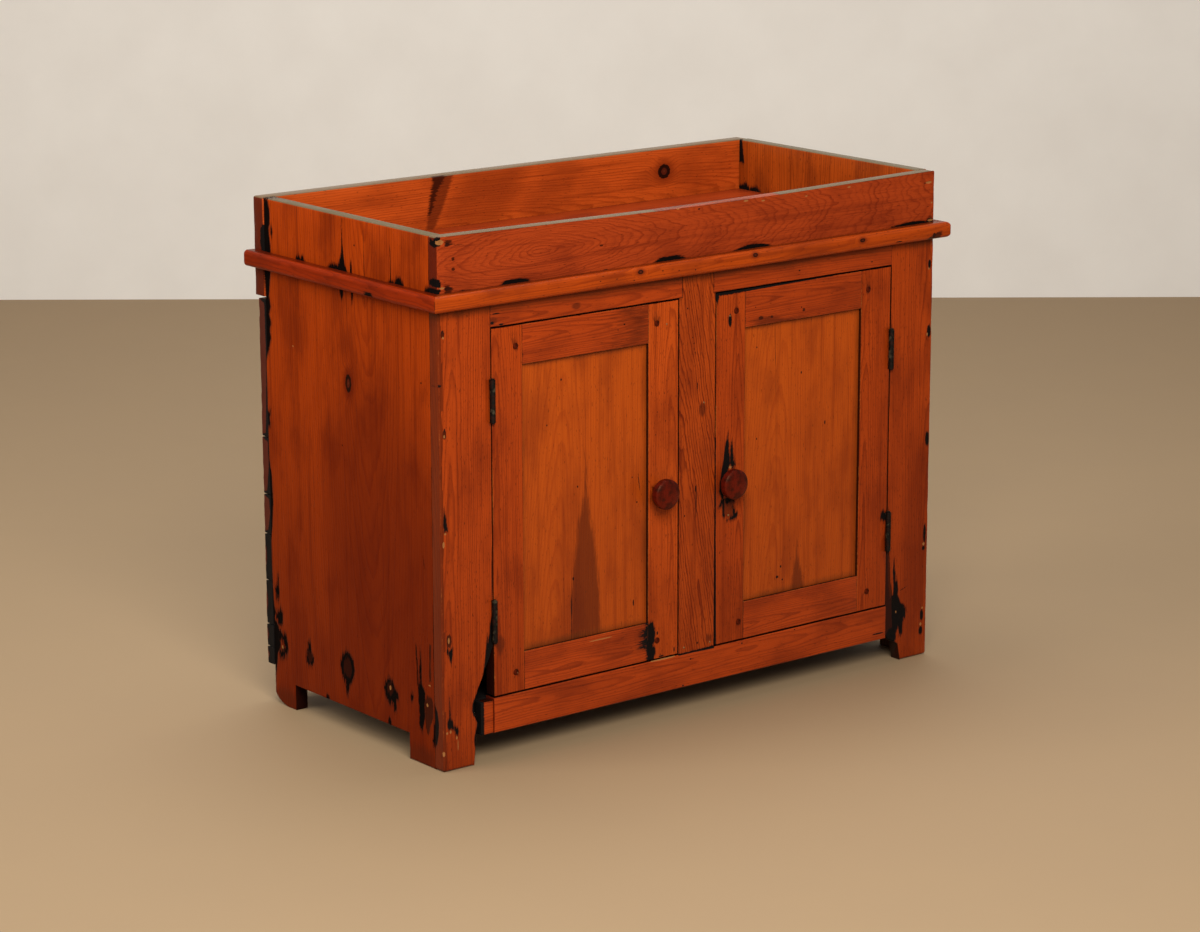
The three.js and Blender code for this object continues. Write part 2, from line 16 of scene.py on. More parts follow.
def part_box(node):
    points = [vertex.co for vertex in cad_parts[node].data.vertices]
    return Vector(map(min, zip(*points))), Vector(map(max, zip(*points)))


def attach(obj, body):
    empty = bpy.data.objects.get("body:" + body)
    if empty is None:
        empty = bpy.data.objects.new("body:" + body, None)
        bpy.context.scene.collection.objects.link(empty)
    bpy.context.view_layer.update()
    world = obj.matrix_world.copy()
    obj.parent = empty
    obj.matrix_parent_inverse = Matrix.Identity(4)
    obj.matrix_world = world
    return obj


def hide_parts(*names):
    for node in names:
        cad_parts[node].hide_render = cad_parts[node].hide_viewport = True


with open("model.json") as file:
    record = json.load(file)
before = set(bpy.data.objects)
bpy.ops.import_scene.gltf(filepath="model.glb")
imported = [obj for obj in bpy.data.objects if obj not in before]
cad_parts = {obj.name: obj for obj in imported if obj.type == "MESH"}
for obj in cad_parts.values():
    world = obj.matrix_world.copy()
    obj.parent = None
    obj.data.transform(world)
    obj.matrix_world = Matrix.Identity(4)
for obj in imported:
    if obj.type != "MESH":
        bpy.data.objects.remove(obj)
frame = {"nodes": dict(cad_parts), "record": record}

log = logging.getLogger("dry_sink")

MM = 0.001
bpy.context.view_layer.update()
CASE_CORNER = np.array(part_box("face_stile_left")[0]) / MM
FAR_OUTSIDE = -20.0
FAR_AWAY = 99.0
GRAIN_SQUEEZE = 0.3
RIM_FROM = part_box("side_board_left")[1].z / MM - 5
Point = tuple[float, float]
Outline = tuple[Point, ...]
Socket, Tree, Material = bpy.types.NodeSocket, bpy.types.NodeTree, bpy.types.Material
Facet = bmesh.types.BMFace


def linear(code: str) -> tuple[float, float, float, float]:
    """Turns an sRGB hex colour into linear red, green, blue and alpha."""
    shares = [int(code[i : i + 2], 16) / 255 for i in (1, 3, 5)]
    return (*(s / 12.92 if s <= 0.04045 else ((s + 0.055) / 1.055) ** 2.4 for s in shares), 1.0)


def put(
    tree: Tree, kind: str, feeds: dict | tuple = (), out: int | str | None = 0, **settings: object
) -> Socket | bpy.types.Node:
    """Adds a node with its settings, and feeds its inputs.

    Args:
        tree: The node tree that it joins.
        kind: The node's type, where "Noise" alone would be a shader node.
        feeds: Values or output sockets for its inputs, in their order or by input name or number.
        out: The output that is wanted, or None for the node itself.
        settings: The node's own properties.

    Returns:
        The output socket, or the node.
    """
    node = tree.nodes.new(kind if "Node" in kind else "ShaderNode" + kind)
    for name, value in settings.items():
        setattr(node, name, value)
    for key, value in feeds.items() if isinstance(feeds, dict) else enumerate(feeds):
        if isinstance(value, Socket):
            tree.links.new(value, node.inputs[key])
        else:
            node.inputs[key].default_value = value
    return node if out is None else node.outputs[out]


def new_material(name: str) -> tuple[Material, Tree]:
    """Makes an empty node material and returns it with its tree."""
    material = bpy.data.materials.new(name)
    material.use_nodes = True
    material.node_tree.nodes.clear()
    return material, material.node_tree


def millimetres(tree: Tree, centre: tuple[float, ...] | list[float] = (0.0, 0.0, 0.0)) -> Socket:
    """Measures the place on a piece in millimetres.

    Args:
        tree: The material's tree.
        centre: What is added to each axis.

    Returns:
        The place.
    """
    where = put(tree, "TexCoord", out="Object")
    return put(tree, "Mapping", {"Vector": where, "Location": centre, "Scale": (1 / MM,) * 3})


def new_object(name: str, mesh: bpy.types.Mesh) -> bpy.types.Object:
    """Links a mesh into the scene as an object at the origin."""
    obj = bpy.data.objects.new(name, mesh)
    bpy.context.scene.collection.objects.link(obj)
    return obj


def hang(obj: bpy.types.Object, body: str, slot: str, *nodes: str) -> None:
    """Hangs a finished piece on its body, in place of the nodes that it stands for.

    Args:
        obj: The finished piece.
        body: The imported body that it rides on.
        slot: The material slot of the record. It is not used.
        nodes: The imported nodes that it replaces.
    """
    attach(obj, body)
    if nodes:
        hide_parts(*nodes)
    log.info("%s: %d faces", obj.name, len(obj.data.polygons))


class Axis(Enum):
    """An axis of the case: X to the right, Y to the back, Z up."""

    X = 0
    Y = 1
    Z = 2


class Face(Enum):
    """The broad face that a board shows: the axis across its thickness, and the way it looks along it."""

    FRONT = (1, -1)
    BACK = (1, 1)
    LEFT = (0, -1)
    RIGHT = (0, 1)
    TOP = (2, 1)

    @property
    def through(self) -> int:
        """The axis across the board's thickness."""
        return self.value[0]

    @property
    def across(self) -> int:
        """The first axis in the face."""
        return 1 if self.through == 0 else 0

    @property
    def up(self) -> int:
        """The second axis in the face."""
        return 1 if self.through == 2 else 2


class Kind(Enum):
    """What a mark is, by the name of the mesh attribute that carries its distance."""

    TONE = "tone"
    STAIN = "stain"
    CHAR = "char"
    SCORCH = "scorch"
    BARE = "bare"


@dataclass(frozen=True)
class Patch:
    """A mark with a closed outline on a board's face, in case millimetres.

    Attributes:
        kind: What the mark is.
        outline: Its corners, as places across and up the face.
        sunk: How deep the wood is gone inside it.
        fine: How close together the mesh is cut over it.
        ragged: How far its edge wanders across the grain. It wanders further along the grain.
        face: The face that it is on, where it isn't the board's main one.
    """

    kind: Kind
    outline: Outline
    sunk: float = 0.0
    fine: float = 2.2
    ragged: float = 1.2
    face: Face | None = None


@dataclass(frozen=True)
class Knot:
    """A knot in a board: its middle, its half width across the grain and its half length, in millimetres."""

    across: float
    up: float
    half_width: float
    half_length: float


def oval(across: float, up: float, half_width: float, half_height: float) -> Outline:
    """The outline of an oval round a middle."""
    turns = [math.tau * i / 14 for i in range(14)]
    return tuple((across + half_width * math.cos(t), up + half_height * math.sin(t)) for t in turns)


def spot(
    kind: Kind, across: float, up: float, half_width: float, half_height: float, sunk: float = 0.3
) -> Patch:
    """A small oval mark."""
    least = min(half_width, half_height)
    outline = oval(across, up, half_width, half_height)
    return Patch(kind, outline, sunk, max(0.7, least / 1.6), max(0.2, least / 6))


def split(across: float, low: float, high: float, width: float, lean: float = 0.0) -> Patch:
    """A split that runs up the grain, widest at its middle.

    Args:
        across: Its place across the face at its lower end.
        low: Its lower end.
        high: Its upper end.
        width: Its greatest width.
        lean: How far its upper end stands across from its lower end.

    Returns:
        The split as a sunk black patch.
    """
    middle, half = (low + high) / 2, width / 2
    centre = across + lean / 2
    outline = ((across, low), (centre + half, middle), (across + lean, high), (centre - half, middle))
    return Patch(Kind.CHAR, outline, 0.8, max(0.5, half), 0.25)


def distance_inside(places: np.ndarray, outline: Outline) -> np.ndarray:
    """Measures how far places lie inside a closed outline.

    Args:
        places: Places across and up a face, one row each.
        outline: The outline's corners.

    Returns:
        The distance to the outline for each place, positive inside it and negative outside.
    """
    start = np.array(outline, float)
    end = np.roll(start, -1, axis=0)
    side = end - start
    away = places[:, None, :] - start[None]
    share = np.clip((away * side).sum(-1) / (side * side).sum(-1), 0, 1)
    reach = np.linalg.norm(away - share[..., None] * side, axis=-1).min(axis=1)
    level = places[:, 1][:, None]
    straddles = (start[:, 1] > level) != (end[:, 1] > level)
    rise = np.where(side[:, 1] == 0, 1e-9, side[:, 1])
    crossing = start[:, 0] + (level - start[:, 1]) * side[:, 0] / rise
    inside = (straddles & (places[:, 0][:, None] < crossing)).sum(axis=1) % 2 == 1
    return np.where(inside, reach, -reach)


def smooth(values: np.ndarray, low: float, high: float) -> np.ndarray:
    """A smooth step from 0 at low to 1 at high."""
    share = np.clip((values - low) / (high - low), 0, 1)
    return share * share * (3 - 2 * share)


@dataclass(frozen=True)
class Sawn:
    """How a board was sawn from its tree, in millimetres.

    Attributes:
        aside: How far the pith lies across from the middle of the face.
        behind: How far the pith lies behind the face.
        ring: The width of a year's ring.
        lean: How far the pith drifts across, per millimetre of length.
        dip: How far it drifts behind, per millimetre of length. It gives the grain its arches.
        wave: How far the grain wanders.
        curl: How far it wanders in small curls.
        seed: A number of the board's own.
    """

    aside: float = 60.0
    behind: float = 25.0
    ring: float = 3.2
    lean: float = 0.0
    dip: float = 0.0
    wave: float = 3.0
    curl: float = 0.5
    seed: float = 0.0


# What a century leaves in and on every board: resin, knots, dirt and fire; some of these colours also carry
# painted shade
RESIN = "#3a0f05"
KNOT_HEART = "#4f1a0c"
KNOT_EYE = "#5c2c18"
DEAD_BARK = "#190905"
STAINED = "#521b09"
# Soil, which also paints the shade under the moulding and round the recessed panels
SOIL_AND_SHADE = "#54290f"
JOINT_DIRT = "#2c0b04"
# Painted shade, near black, for narrow faces in the gaps between parts
NARROW_FACE_SHADE = "#180805"
RAW_FIBRE = "#432613"
CHAR_FRINGE = "#3f1206"
CHARRED = "#0a0504"
SCORCHED = "#300f06"
FLAKED = "#a06c3c"


@dataclass(frozen=True)
class ShellackedPine:
    """Old pine, planed by hand and shellacked: the eye sees amber earlywood between thin red-brown latewood
    lines, short dark resin ducts along the grain, and a satin skin that has darkened in blotches.

    Attributes:
        name: What the finish is called.
        slot: The record's material slot.
        early: The colour of the earlywood.
        late: The colour of the latewood lines.
        deep: The colour of the skin where it has darkened, and of the painted shade towards the foot.
        foot: The share of that colour that comes in from the board's top to its foot, as painted shade.
        contrast: How strongly the rings show.
        specks: How many resin marks there are, from 0 to 1.
        roughness: The roughness of the skin.
        gloss: The specular level of the skin.
        raw: The colour of the faces that were left raw.
        worn: The colour of rubbed arrises.
        end: The colour of end grain.
        rim: The colour of upward edges, under dust and a century of sleeves, with a painted greyish sheen of
            reflection.
    """

    name: str
    slot: str
    early: str
    late: str
    deep: str
    foot: float = 0.0
    contrast: float = 0.75
    specks: float = 0.5
    roughness: float = 0.32
    gloss: float = 0.18
    raw: str = "#6f4526"
    worn: str = "#b5662c"
    end: str = "#521508"
    rim: str = "#65573f"

    def place_in(self, tree: Tree, board: "Board") -> tuple[Socket, list[float]]:
        """Measures the place in a board in millimetres: across the grain, in from the face, and along it.

        Args:
            tree: The material's tree.
            board: The board.

        Returns:
            The place, and what was added to each axis of the row frame to centre it.
        """
        low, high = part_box(board.node)
        axis, sign = board.face.value
        centre = [-(low[i] + high[i]) / 2 / MM for i in range(3)]
        centre[axis] = -(low if sign < 0 else high)[axis] / MM
        axes = put(tree, "SeparateXYZ", (millimetres(tree, centre),), out=None).outputs
        depth = put(tree, "Math", (axes[axis], -sign), operation="MULTIPLY")
        return put(tree, "CombineXYZ", (axes[board.across_grain], depth, axes[board.grain.value])), centre

    def patterns(self, tree: Tree, place: Socket, seed: float) -> dict[str, Socket]:
        """Makes the noises of the wood, each drawn out along the grain.

        Args:
            tree: The material's tree.
            place: The place in the board.
            seed: The board's own number.

        Returns:
            The noises by name, each about 0.5 on average.
        """
        # Width and length in millimetres, and detail. Fibres and ducts are 1.5 mm wide so that they show
        sizes = {
            "slow": (48, 230, 2), "curl": (11, 42, 2), "tooth": (2, 5, 3), "feather": (2.4, 30, 3),
            "fibre": (1.5, 70, 3), "streak": (9, 420, 3), "blotch": (58, 150, 4), "duct": (1.5, 9, 1),
        }
        noises = {}
        for i, (name, (width, length, detail)) in enumerate(sizes.items()):
            size = (1 / width, 1 / width, 1 / length)
            drawn = put(tree, "VectorMath", (place, size), operation="MULTIPLY")
            feeds = {"Vector": drawn, "W": seed + i, "Scale": 1.0, "Detail": detail, "Roughness": 0.55}
            noises[name] = put(tree, "TexNoise", feeds, noise_dimensions="4D")
        return noises

    def nearness(self, tree: Tree, place: Socket, board: "Board", centre: list[float]) -> Socket:
        """Measures how near the board's knots are, as shares of their size.

        Args:
            tree: The material's tree.
            place: The place in the board.
            board: The board, which has knots.
            centre: What was added to each axis to centre the place.

        Returns:
            0 in the middle of a knot, 1 on its edge, and more outside it.
        """
        nearest: Socket | float = 9.0
        for knot in board.knots:
            middle = {board.face.across: knot.across, board.face.up: knot.up}
            at = [middle[i] + CASE_CORNER[i] + centre[i] for i in (board.across_grain, board.grain.value)]
            offset = put(tree, "VectorMath", (place, (at[0], 0.0, at[1])), operation="SUBTRACT")
            size = (1 / knot.half_width, 0.0, 1 / knot.half_length)
            unit = put(tree, "VectorMath", (offset, size), operation="MULTIPLY")
            reach = put(tree, "VectorMath", (unit,), out="Value", operation="LENGTH")
            nearest = put(tree, "Math", (nearest, reach), operation="MINIMUM")
        return nearest

    def latewood(
        self, tree: Tree, place: Socket, sawn: Sawn, noises: dict[str, Socket], knots: Socket | None
    ) -> Socket:
        """Draws the rings from the distance to the pith, which leans and dips along the board.

        Args:
            tree: The material's tree.
            place: The place in the board.
            sawn: How the board was sawn.
            noises: The wood's noises.
            knots: How near its knots are, if it has any.

        Returns:
            How much of the place is latewood, from 0 to 1.
        """
        along = put(tree, "SeparateXYZ", (place,), out=2)
        drift = put(tree, "VectorMath", {0: (sawn.lean, sawn.dip, 0.0), "Scale": along}, operation="SCALE")
        pith = put(tree, "VectorMath", (drift, (sawn.aside, sawn.behind, 0.0)), operation="ADD")
        pushed = put(tree, "VectorMath", (place, pith), operation="SUBTRACT")
        flat = put(tree, "VectorMath", (pushed, (1.0, 1.0, 0.0)), operation="MULTIPLY")
        bent = put(tree, "VectorMath", (flat,), out="Value", operation="LENGTH")
        for name, reach in (("slow", sawn.wave), ("curl", sawn.curl)):
            bent = put(tree, "Math", (noises[name], 4 * reach, bent), operation="MULTIPLY_ADD")
        if knots:
            push = put(tree, "MapRange", (knots, 3.4, 0.5, 0.0, 12.0), interpolation_type="SMOOTHSTEP")
            bent = put(tree, "Math", (bent, push), operation="ADD")
        rings = put(tree, "Math", (bent, sawn.ring), operation="DIVIDE")
        phase = put(tree, "Math", (rings,), operation="FRACT")
        year = put(tree, "Math", (rings,), operation="FLOOR")
        strength = put(tree, "TexWhiteNoise", {"W": year}, noise_dimensions="1D")
        strong = put(tree, "MapRange", (strength, 0.0, 1.0, 0.35, 1.0))
        rise = put(tree, "MapRange", (phase, 0.36, 0.88), interpolation_type="SMOOTHSTEP")
        fall = put(tree, "MapRange", (phase, 1.0, 0.9), interpolation_type="SMOOTHSTEP")
        line = put(tree, "Math", (rise, fall), operation="MULTIPLY")
        return put(tree, "Math", (line, strong), operation="MULTIPLY")

    def lay(self, tree: Tree, wood: Socket, *layers: tuple) -> Socket:
        """Lays colours over the wood, each where a value has passed smoothly from one level to another.

        Args:
            tree: The material's tree.
            wood: The colour so far.
            layers: For each colour its value, the level where it starts, the level where it is full, its
                greatest share, and the colour.

        Returns:
            The new colour.
        """
        for value, start, stop, most, code in layers:
            share = put(tree, "MapRange", (value, start, stop, 0.0, most), interpolation_type="SMOOTHSTEP")
            wood = put(tree, "Mix", {0: share, 6: wood, 7: linear(code)}, out=2, data_type="RGBA")
        return wood

    def dress(self, name: str, board: "Board") -> Material:
        """Builds the board's own material.

        Args:
            name: The board's name.
            board: The board, for its grain and the way that it was sawn.

        Returns:
            The material.
        """
        material, tree = new_material(f"{self.name}_{name}")
        place, centre = self.place_in(tree, board)
        low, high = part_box(board.node)
        half_length = (high[board.grain.value] - low[board.grain.value]) / MM / 2
        keys = [kind.value for kind in Kind] + ["edge", "joint", "soil", "end", "raw", "rim", "narrow"]
        marks = {key: put(tree, "Attribute", out="Fac", attribute_name=key) for key in keys}
        noises = self.patterns(tree, place, board.sawn.seed)
        tooth, fibre, feather, blotch = (noises[key] for key in ("tooth", "fibre", "feather", "blotch"))
        # The grain frays the edges of the marks, most of all where wood is burnt
        frayed = {
            key: put(tree, "Math", (pattern, share, marks[key]), operation="MULTIPLY_ADD")
            for key, pattern, share in (
                ("tone", blotch, 1.6), ("stain", feather, 5.0), ("joint", tooth, 1.6), ("edge", tooth, 3.4),
                ("char", tooth, 2.2), ("scorch", tooth, 2.2), ("bare", tooth, 2.0),
            )
        }
        for key in ("char", "scorch"):
            frayed[key] = put(tree, "Math", (feather, 4.6, frayed[key]), operation="MULTIPLY_ADD")
        knots = self.nearness(tree, place, board, centre) if board.knots else None
        late = self.latewood(tree, place, board.sawn, noises, knots)
        along = put(tree, "SeparateXYZ", (place,), out=2)

        # The clean wood: rings, fibres, streaks, blotches, painted shade towards the foot, broad dark clouds
        # and resin ducts
        clean = put(tree, "RGB", out=None).outputs[0]
        clean.default_value = linear(self.early)
        duct_from = 0.69 - 0.07 * self.specks
        wood = self.lay(
            tree, clean,
            (late, 0.0, 1.0, self.contrast, self.late),
            (fibre, 0.44, 0.72, 0.55, self.late),
            (noises["streak"], 0.5, 0.68, 0.4, self.deep),
            (blotch, 0.44, 0.68, 0.5, self.deep),
            # Painted shade, darker towards the board's foot
            (along, half_length, -half_length, self.foot, self.deep),
            (frayed["tone"], 0.2, 2.4, 0.5, self.deep),
            (noises["duct"], duct_from, duct_from + 0.06, 0.7, RESIN),
        )
        if knots:
            # A halo, a red-brown heart with a paler eye, and a rim of dead bark that comes and goes
            ragged = put(tree, "Math", (tooth, 0.5, knots), operation="MULTIPLY_ADD")
            inner = put(tree, "MapRange", (ragged, 0.55, 0.95), interpolation_type="SMOOTHSTEP")
            outer = put(tree, "MapRange", (ragged, 1.42, 1.25), interpolation_type="SMOOTHSTEP")
            bark = put(tree, "Math", (inner, outer), operation="MULTIPLY")
            broken = put(tree, "Math", (bark, blotch), operation="MULTIPLY")
            wood = self.lay(
                tree, wood,
                (ragged, 2.9, 1.3, 0.7, self.deep),
                (ragged, 1.4, 1.2, 1.0, KNOT_HEART),
                (broken, 0.2, 0.42, 0.95, DEAD_BARK),
                (ragged, 0.52, 0.3, 0.8, KNOT_EYE),
            )

        # Stains; soil and painted shade; dirt in joints; end grain; painted shade on narrow faces; dust and
        # painted sheen on upward edges; rubbed arrises
        corner = put(tree, "MapRange", (marks["soil"], 14.0, 0.0))
        soil = put(tree, "Math", (corner, blotch), operation="MULTIPLY")
        # Dust, and a painted greyish sheen of reflection, on upward faces near the top
        dust_and_sheen = put(tree, "Math", (marks["rim"], noises["streak"]), operation="MULTIPLY")
        wood = self.lay(
            tree, wood,
            (frayed["stain"], 1.4, 3.6, 0.72, STAINED),
            (soil, 0.05, 0.6, 0.6, SOIL_AND_SHADE),
            (frayed["joint"], 2.3, 0.9, 0.75, JOINT_DIRT),
            (marks["end"], 0.0, 1.0, 0.9, self.end),
            (marks["narrow"], 0.0, 1.0, 0.93, NARROW_FACE_SHADE),
            (dust_and_sheen, 0.04, 0.3, 0.92, self.rim),
            (frayed["edge"], 3.0, 1.5, 0.5, self.worn),
        )
        bare_tone = put(tree, "MapRange", (fibre, 0.4, 0.7))
        raw_tones = {0: bare_tone, 6: linear(self.raw), 7: linear(RAW_FIBRE)}
        raw = put(tree, "Mix", raw_tones, out=2, data_type="RGBA")
        wood = put(tree, "Mix", {0: marks["raw"], 6: wood, 7: raw}, out=2, data_type="RGBA")

        # Rot and burns run up and down the grain in feathers, and bare wood shows where it has flaked away
        wood = self.lay(
            tree, wood,
            (frayed["char"], 2.0, 3.6, 0.75, CHAR_FRINGE),
            (frayed["char"], 3.3, 3.7, 1.0, CHARRED),
            (frayed["scorch"], 2.9, 3.9, 0.88, SCORCHED),
            (frayed["bare"], 1.0, 1.5, 0.8, FLAKED),
        )

        # The skin is satin, and gone where the wood is raw or burnt
        charred = put(tree, "MapRange", (frayed["char"], 3.3, 3.7))
        skin = put(tree, "MapRange", (blotch, 0.3, 0.7, self.roughness - 0.07, self.roughness + 0.08))
        dull = put(tree, "Math", (charred, marks["raw"]), operation="MAXIMUM")
        roughness = put(tree, "Mix", {0: dull, 2: skin, 3: 0.78}, data_type="FLOAT")
        relief = put(tree, "Math", (fibre, -0.5, late), operation="MULTIPLY_ADD")
        pitted = put(tree, "Math", (charred, tooth), operation="MULTIPLY")
        rough_relief = put(tree, "Math", (pitted, 5.0, relief), operation="MULTIPLY_ADD")
        bump = put(tree, "Bump", {"Height": rough_relief, "Distance": 0.00012, "Strength": 0.8})
        shader = put(
            tree,
            "BsdfPrincipled",
            {"Base Color": wood, "Roughness": roughness, "Normal": bump, "Specular IOR Level": self.gloss},
        )
        put(tree, "OutputMaterial", {"Surface": shader}, out=None)
        return material


@dataclass(frozen=True)
class CastIron:
    """Old cast iron: near black, rough from the sand mould, rusty in clouds, and pale in other clouds that
    are partly rubbed iron and partly painted highlights.
    """

    name: str = "cast_iron"
    slot: str = "hinge_iron"
    body: str = "#14110e"
    rust: str = "#34170d"
    # The pale colour of rubbed iron, which also stands for painted highlights
    rubbed: str = "#4a4536"

    def dress(self) -> Material:
        """Builds the material and returns it."""
        material, tree = new_material(self.name)
        scaled = millimetres(tree)
        # Sand grains of 0.9 mm, coarser than the real ones so that they show
        grains = put(tree, "TexNoise", {"Vector": scaled, "Scale": 1 / 0.9, "Detail": 2.0})
        clouds = put(tree, "TexNoise", {"Vector": scaled, "Scale": 1 / 11, "Detail": 4.0})
        rusted = put(tree, "MapRange", (clouds, 0.48, 0.68, 0.0, 0.7))
        body, rust = linear(self.body), linear(self.rust)
        colour = put(tree, "Mix", {0: rusted, 6: body, 7: rust}, out=2, data_type="RGBA")
        # Pale clouds: partly rubbed iron, partly painted highlights
        rubbed_and_highlit = put(tree, "MapRange", (clouds, 0.44, 0.34))
        colour = put(tree, "Mix", {0: rubbed_and_highlit, 6: colour, 7: linear(self.rubbed)}, out=2, data_type="RGBA")
        roughness = put(tree, "MapRange", (clouds, 0.3, 0.7, 0.42, 0.7))
        bump = put(tree, "Bump", {"Height": grains, "Distance": 0.0001, "Strength": 0.6})
        shader = put(
            tree,
            "BsdfPrincipled",
            {
                "Base Color": colour, "Metallic": 0.4, "Roughness": roughness, "Normal": bump,
                "Specular IOR Level": 0.2,
            },
        )
        put(tree, "OutputMaterial", {"Surface": shader}, out=None)
        return material


@dataclass(frozen=True)
class TurnedMaple:
    """Turned maple under old shellac: dark maroon and glossy, with fine turning lines round the axis and a
    skin that hands have darkened.

    Attributes:
        name: What the finish is called.
        slot: The record's material slot.
        body: The main colour.
        dark: The colour of the darkened skin.
        roughness: The roughness of the skin.
        gloss: The specular level of the skin.
        pitch: The spacing of the turning lines, in millimetres, coarser than the real ones so that they show.
    """

    name: str
    slot: str
    body: str
    dark: str
    roughness: float = 0.33
    gloss: float = 0.3
    pitch: float = 1.3

    def dress(self, name: str, centre: np.ndarray) -> Material:
        """Builds the material of one turned piece.

        Args:
            name: The piece's name.
            centre: A point on its axis, in the row frame, in metres. The axis runs along Y.

        Returns:
            The material.
        """
        material, tree = new_material(f"{self.name}_{name}")
        scaled = millimetres(tree, [-v / MM for v in centre])
        flat = put(tree, "VectorMath", (scaled, (1.0, 0.0, 1.0)), operation="MULTIPLY")
        radius = put(tree, "VectorMath", (flat,), out="Value", operation="LENGTH")
        turns = put(tree, "Math", (radius, math.tau / self.pitch), operation="MULTIPLY")
        lines = put(tree, "Math", (turns,), operation="SINE")
        pores_at = put(tree, "VectorMath", (scaled, (1 / 1.2, 1 / 1.2, 1 / 6)), operation="MULTIPLY")
        pores = put(tree, "TexNoise", {"Vector": pores_at, "Scale": 1.0, "Detail": 3.0})
        clouds = put(tree, "TexNoise", {"Vector": scaled, "Scale": 1 / 14, "Detail": 4.0, "Roughness": 0.6})
        worn = put(tree, "MapRange", (clouds, 0.4, 0.65))
        pored = put(tree, "MapRange", (pores, 0.5, 0.7, 0.0, 0.5))
        body, dark = linear(self.body), linear(self.dark)
        wood = put(tree, "Mix", {0: worn, 6: body, 7: dark}, out=2, data_type="RGBA")
        colour = put(tree, "Mix", {0: pored, 6: wood, 7: dark}, out=2, data_type="RGBA")
        skin = put(tree, "MapRange", (clouds, 0.3, 0.7, self.roughness - 0.06, self.roughness + 0.12))
        relief = put(tree, "Math", (pores, -1.5, lines), operation="MULTIPLY_ADD")
        bump = put(tree, "Bump", {"Height": relief, "Distance": 0.00005, "Strength": 0.7})
        shader = put(
            tree,
            "BsdfPrincipled",
            {
                "Base Color": colour, "Roughness": skin, "Normal": bump, "Specular IOR Level": self.gloss,
                "Specular Tint": linear("#ffb08a"),
            },
        )
        put(tree, "OutputMaterial", {"Surface": shader}, out=None)
        return material


TO_CASE = Matrix.Translation(Vector(-CASE_CORNER)) @ Matrix.Scale(1 / MM, 4)
FROM_CASE = TO_CASE.inverted()


def case_box(node: str) -> tuple[np.ndarray, np.ndarray]:
    """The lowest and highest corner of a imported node, in case millimetres."""
    low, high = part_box(node)
    return np.array(low) / MM - CASE_CORNER, np.array(high) / MM - CASE_CORNER


def undulate(places: np.ndarray, length: float, seed: float) -> np.ndarray:
    """A smooth random height over a face.

    Args:
        places: Places across and up the face.
        length: How far apart its shortest waves are.
        seed: A number that changes the waves.

    Returns:
        A height from 0 to 1 for each place.
    """
    waves = 5
    total = np.zeros(len(places))
    for i in range(waves):
        turn = 1.7 * seed + 2.4 * i
        run = places[:, 0] * math.cos(turn) + places[:, 1] * math.sin(turn)
        total += np.sin(math.tau * run / (length * (1 + 0.45 * i)) + seed * (i + 1))
    return 0.5 + 0.5 * total / waves


def applied(rough: bpy.types.Object) -> bpy.types.Mesh:
    """Makes a plain mesh of an object with its modifiers, and removes the object.

    Args:
        rough: The object.

    Returns:
        The mesh.
    """
    mesh = bpy.data.meshes.new_from_object(rough.evaluated_get(bpy.context.evaluated_depsgraph_get()))
    rough.modifiers.clear()
    bpy.data.objects.remove(rough)
    return mesh


def eased_copy(node: str, radius: float, rounds: dict[str, float], segments: int = 3) -> tuple:
    """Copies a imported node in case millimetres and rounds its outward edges.

    Args:
        node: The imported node.
        radius: The radius of its edges.
        rounds: The radius of chosen edges, by the planes of the node's box that they lie on, such as "x-y-".
        segments: The facets of a rounded edge.

    Returns:
        The mesh, places along the edges that have a radius of their own, and places along its other edges.
    """
    near, shortest, spacing = 0.08, 2.0, 3.0
    bluntest = math.radians(50)
    low, high = case_box(node)
    mesh = frame["nodes"][node].data.copy()
    mesh.transform(TO_CASE)
    form = bmesh.new()
    form.from_mesh(mesh)
    bmesh.ops.remove_doubles(form, verts=form.verts, dist=0.001)
    bmesh.ops.dissolve_limit(form, angle_limit=0.01, verts=form.verts, edges=form.edges)
    form.normal_update()
    weight = form.edges.layers.float.new("bevel_weight_edge")
    widest = max([radius, *rounds.values()])
    worn, plain = [], []
    for edge in form.edges:
        if not edge.is_manifold or edge.calc_length() < shortest:
            continue
        if edge.calc_face_angle_signed() < bluntest:
            continue
        ends = [v.co for v in edge.verts]
        planes = "".join(
            "xyz"[i] + sign
            for i in range(3)
            for sign, at in (("-", low[i]), ("+", high[i]))
            if all(abs(end[i] - at) < near for end in ends)
        )
        chosen = rounds.get(planes, radius)
        edge[weight] = chosen / widest
        steps = max(2, int(edge.calc_length() / spacing))
        along = [ends[0].lerp(ends[1], i / steps) for i in range(steps + 1)]
        (worn if planes in rounds else plain).extend(along)
    form.to_mesh(mesh)
    form.free()
    mesh.materials.clear()
    rough = new_object(node + "_eased", mesh)
    bevel = rough.modifiers.new("arris", "BEVEL")
    bevel.limit_method = "WEIGHT"
    bevel.width = widest
    bevel.segments = segments
    bevel.use_clamp_overlap = False
    eased = applied(rough)
    bpy.data.meshes.remove(mesh)
    return eased, worn, plain


def distance_to(places: np.ndarray, targets: list[Vector]) -> np.ndarray:
    """Measures how far each place is from the nearest target.

    Args:
        places: The places, one row each.
        targets: The targets, which may be none.

    Returns:
        The distance for each place, very far where there is no target.
    """
    if not targets:
        return np.full(len(places), FAR_AWAY)
    tree = KDTree(len(targets))
    for i, target in enumerate(targets):
        tree.insert(target, i)
    tree.balance()
    return np.array([tree.find(place)[2] for place in places])


def finish_mesh(mesh: bpy.types.Mesh, crease: float = 40) -> None:
    """Puts a mesh that is in case millimetres back in the row frame, smooth between its sharp edges.

    Args:
        mesh: The mesh.
        crease: The angle in degrees from which an edge is sharp.
    """
    mesh.transform(FROM_CASE)
    mesh.shade_smooth()
    mesh.set_sharp_from_angle(angle=math.radians(crease))
    mesh.update()


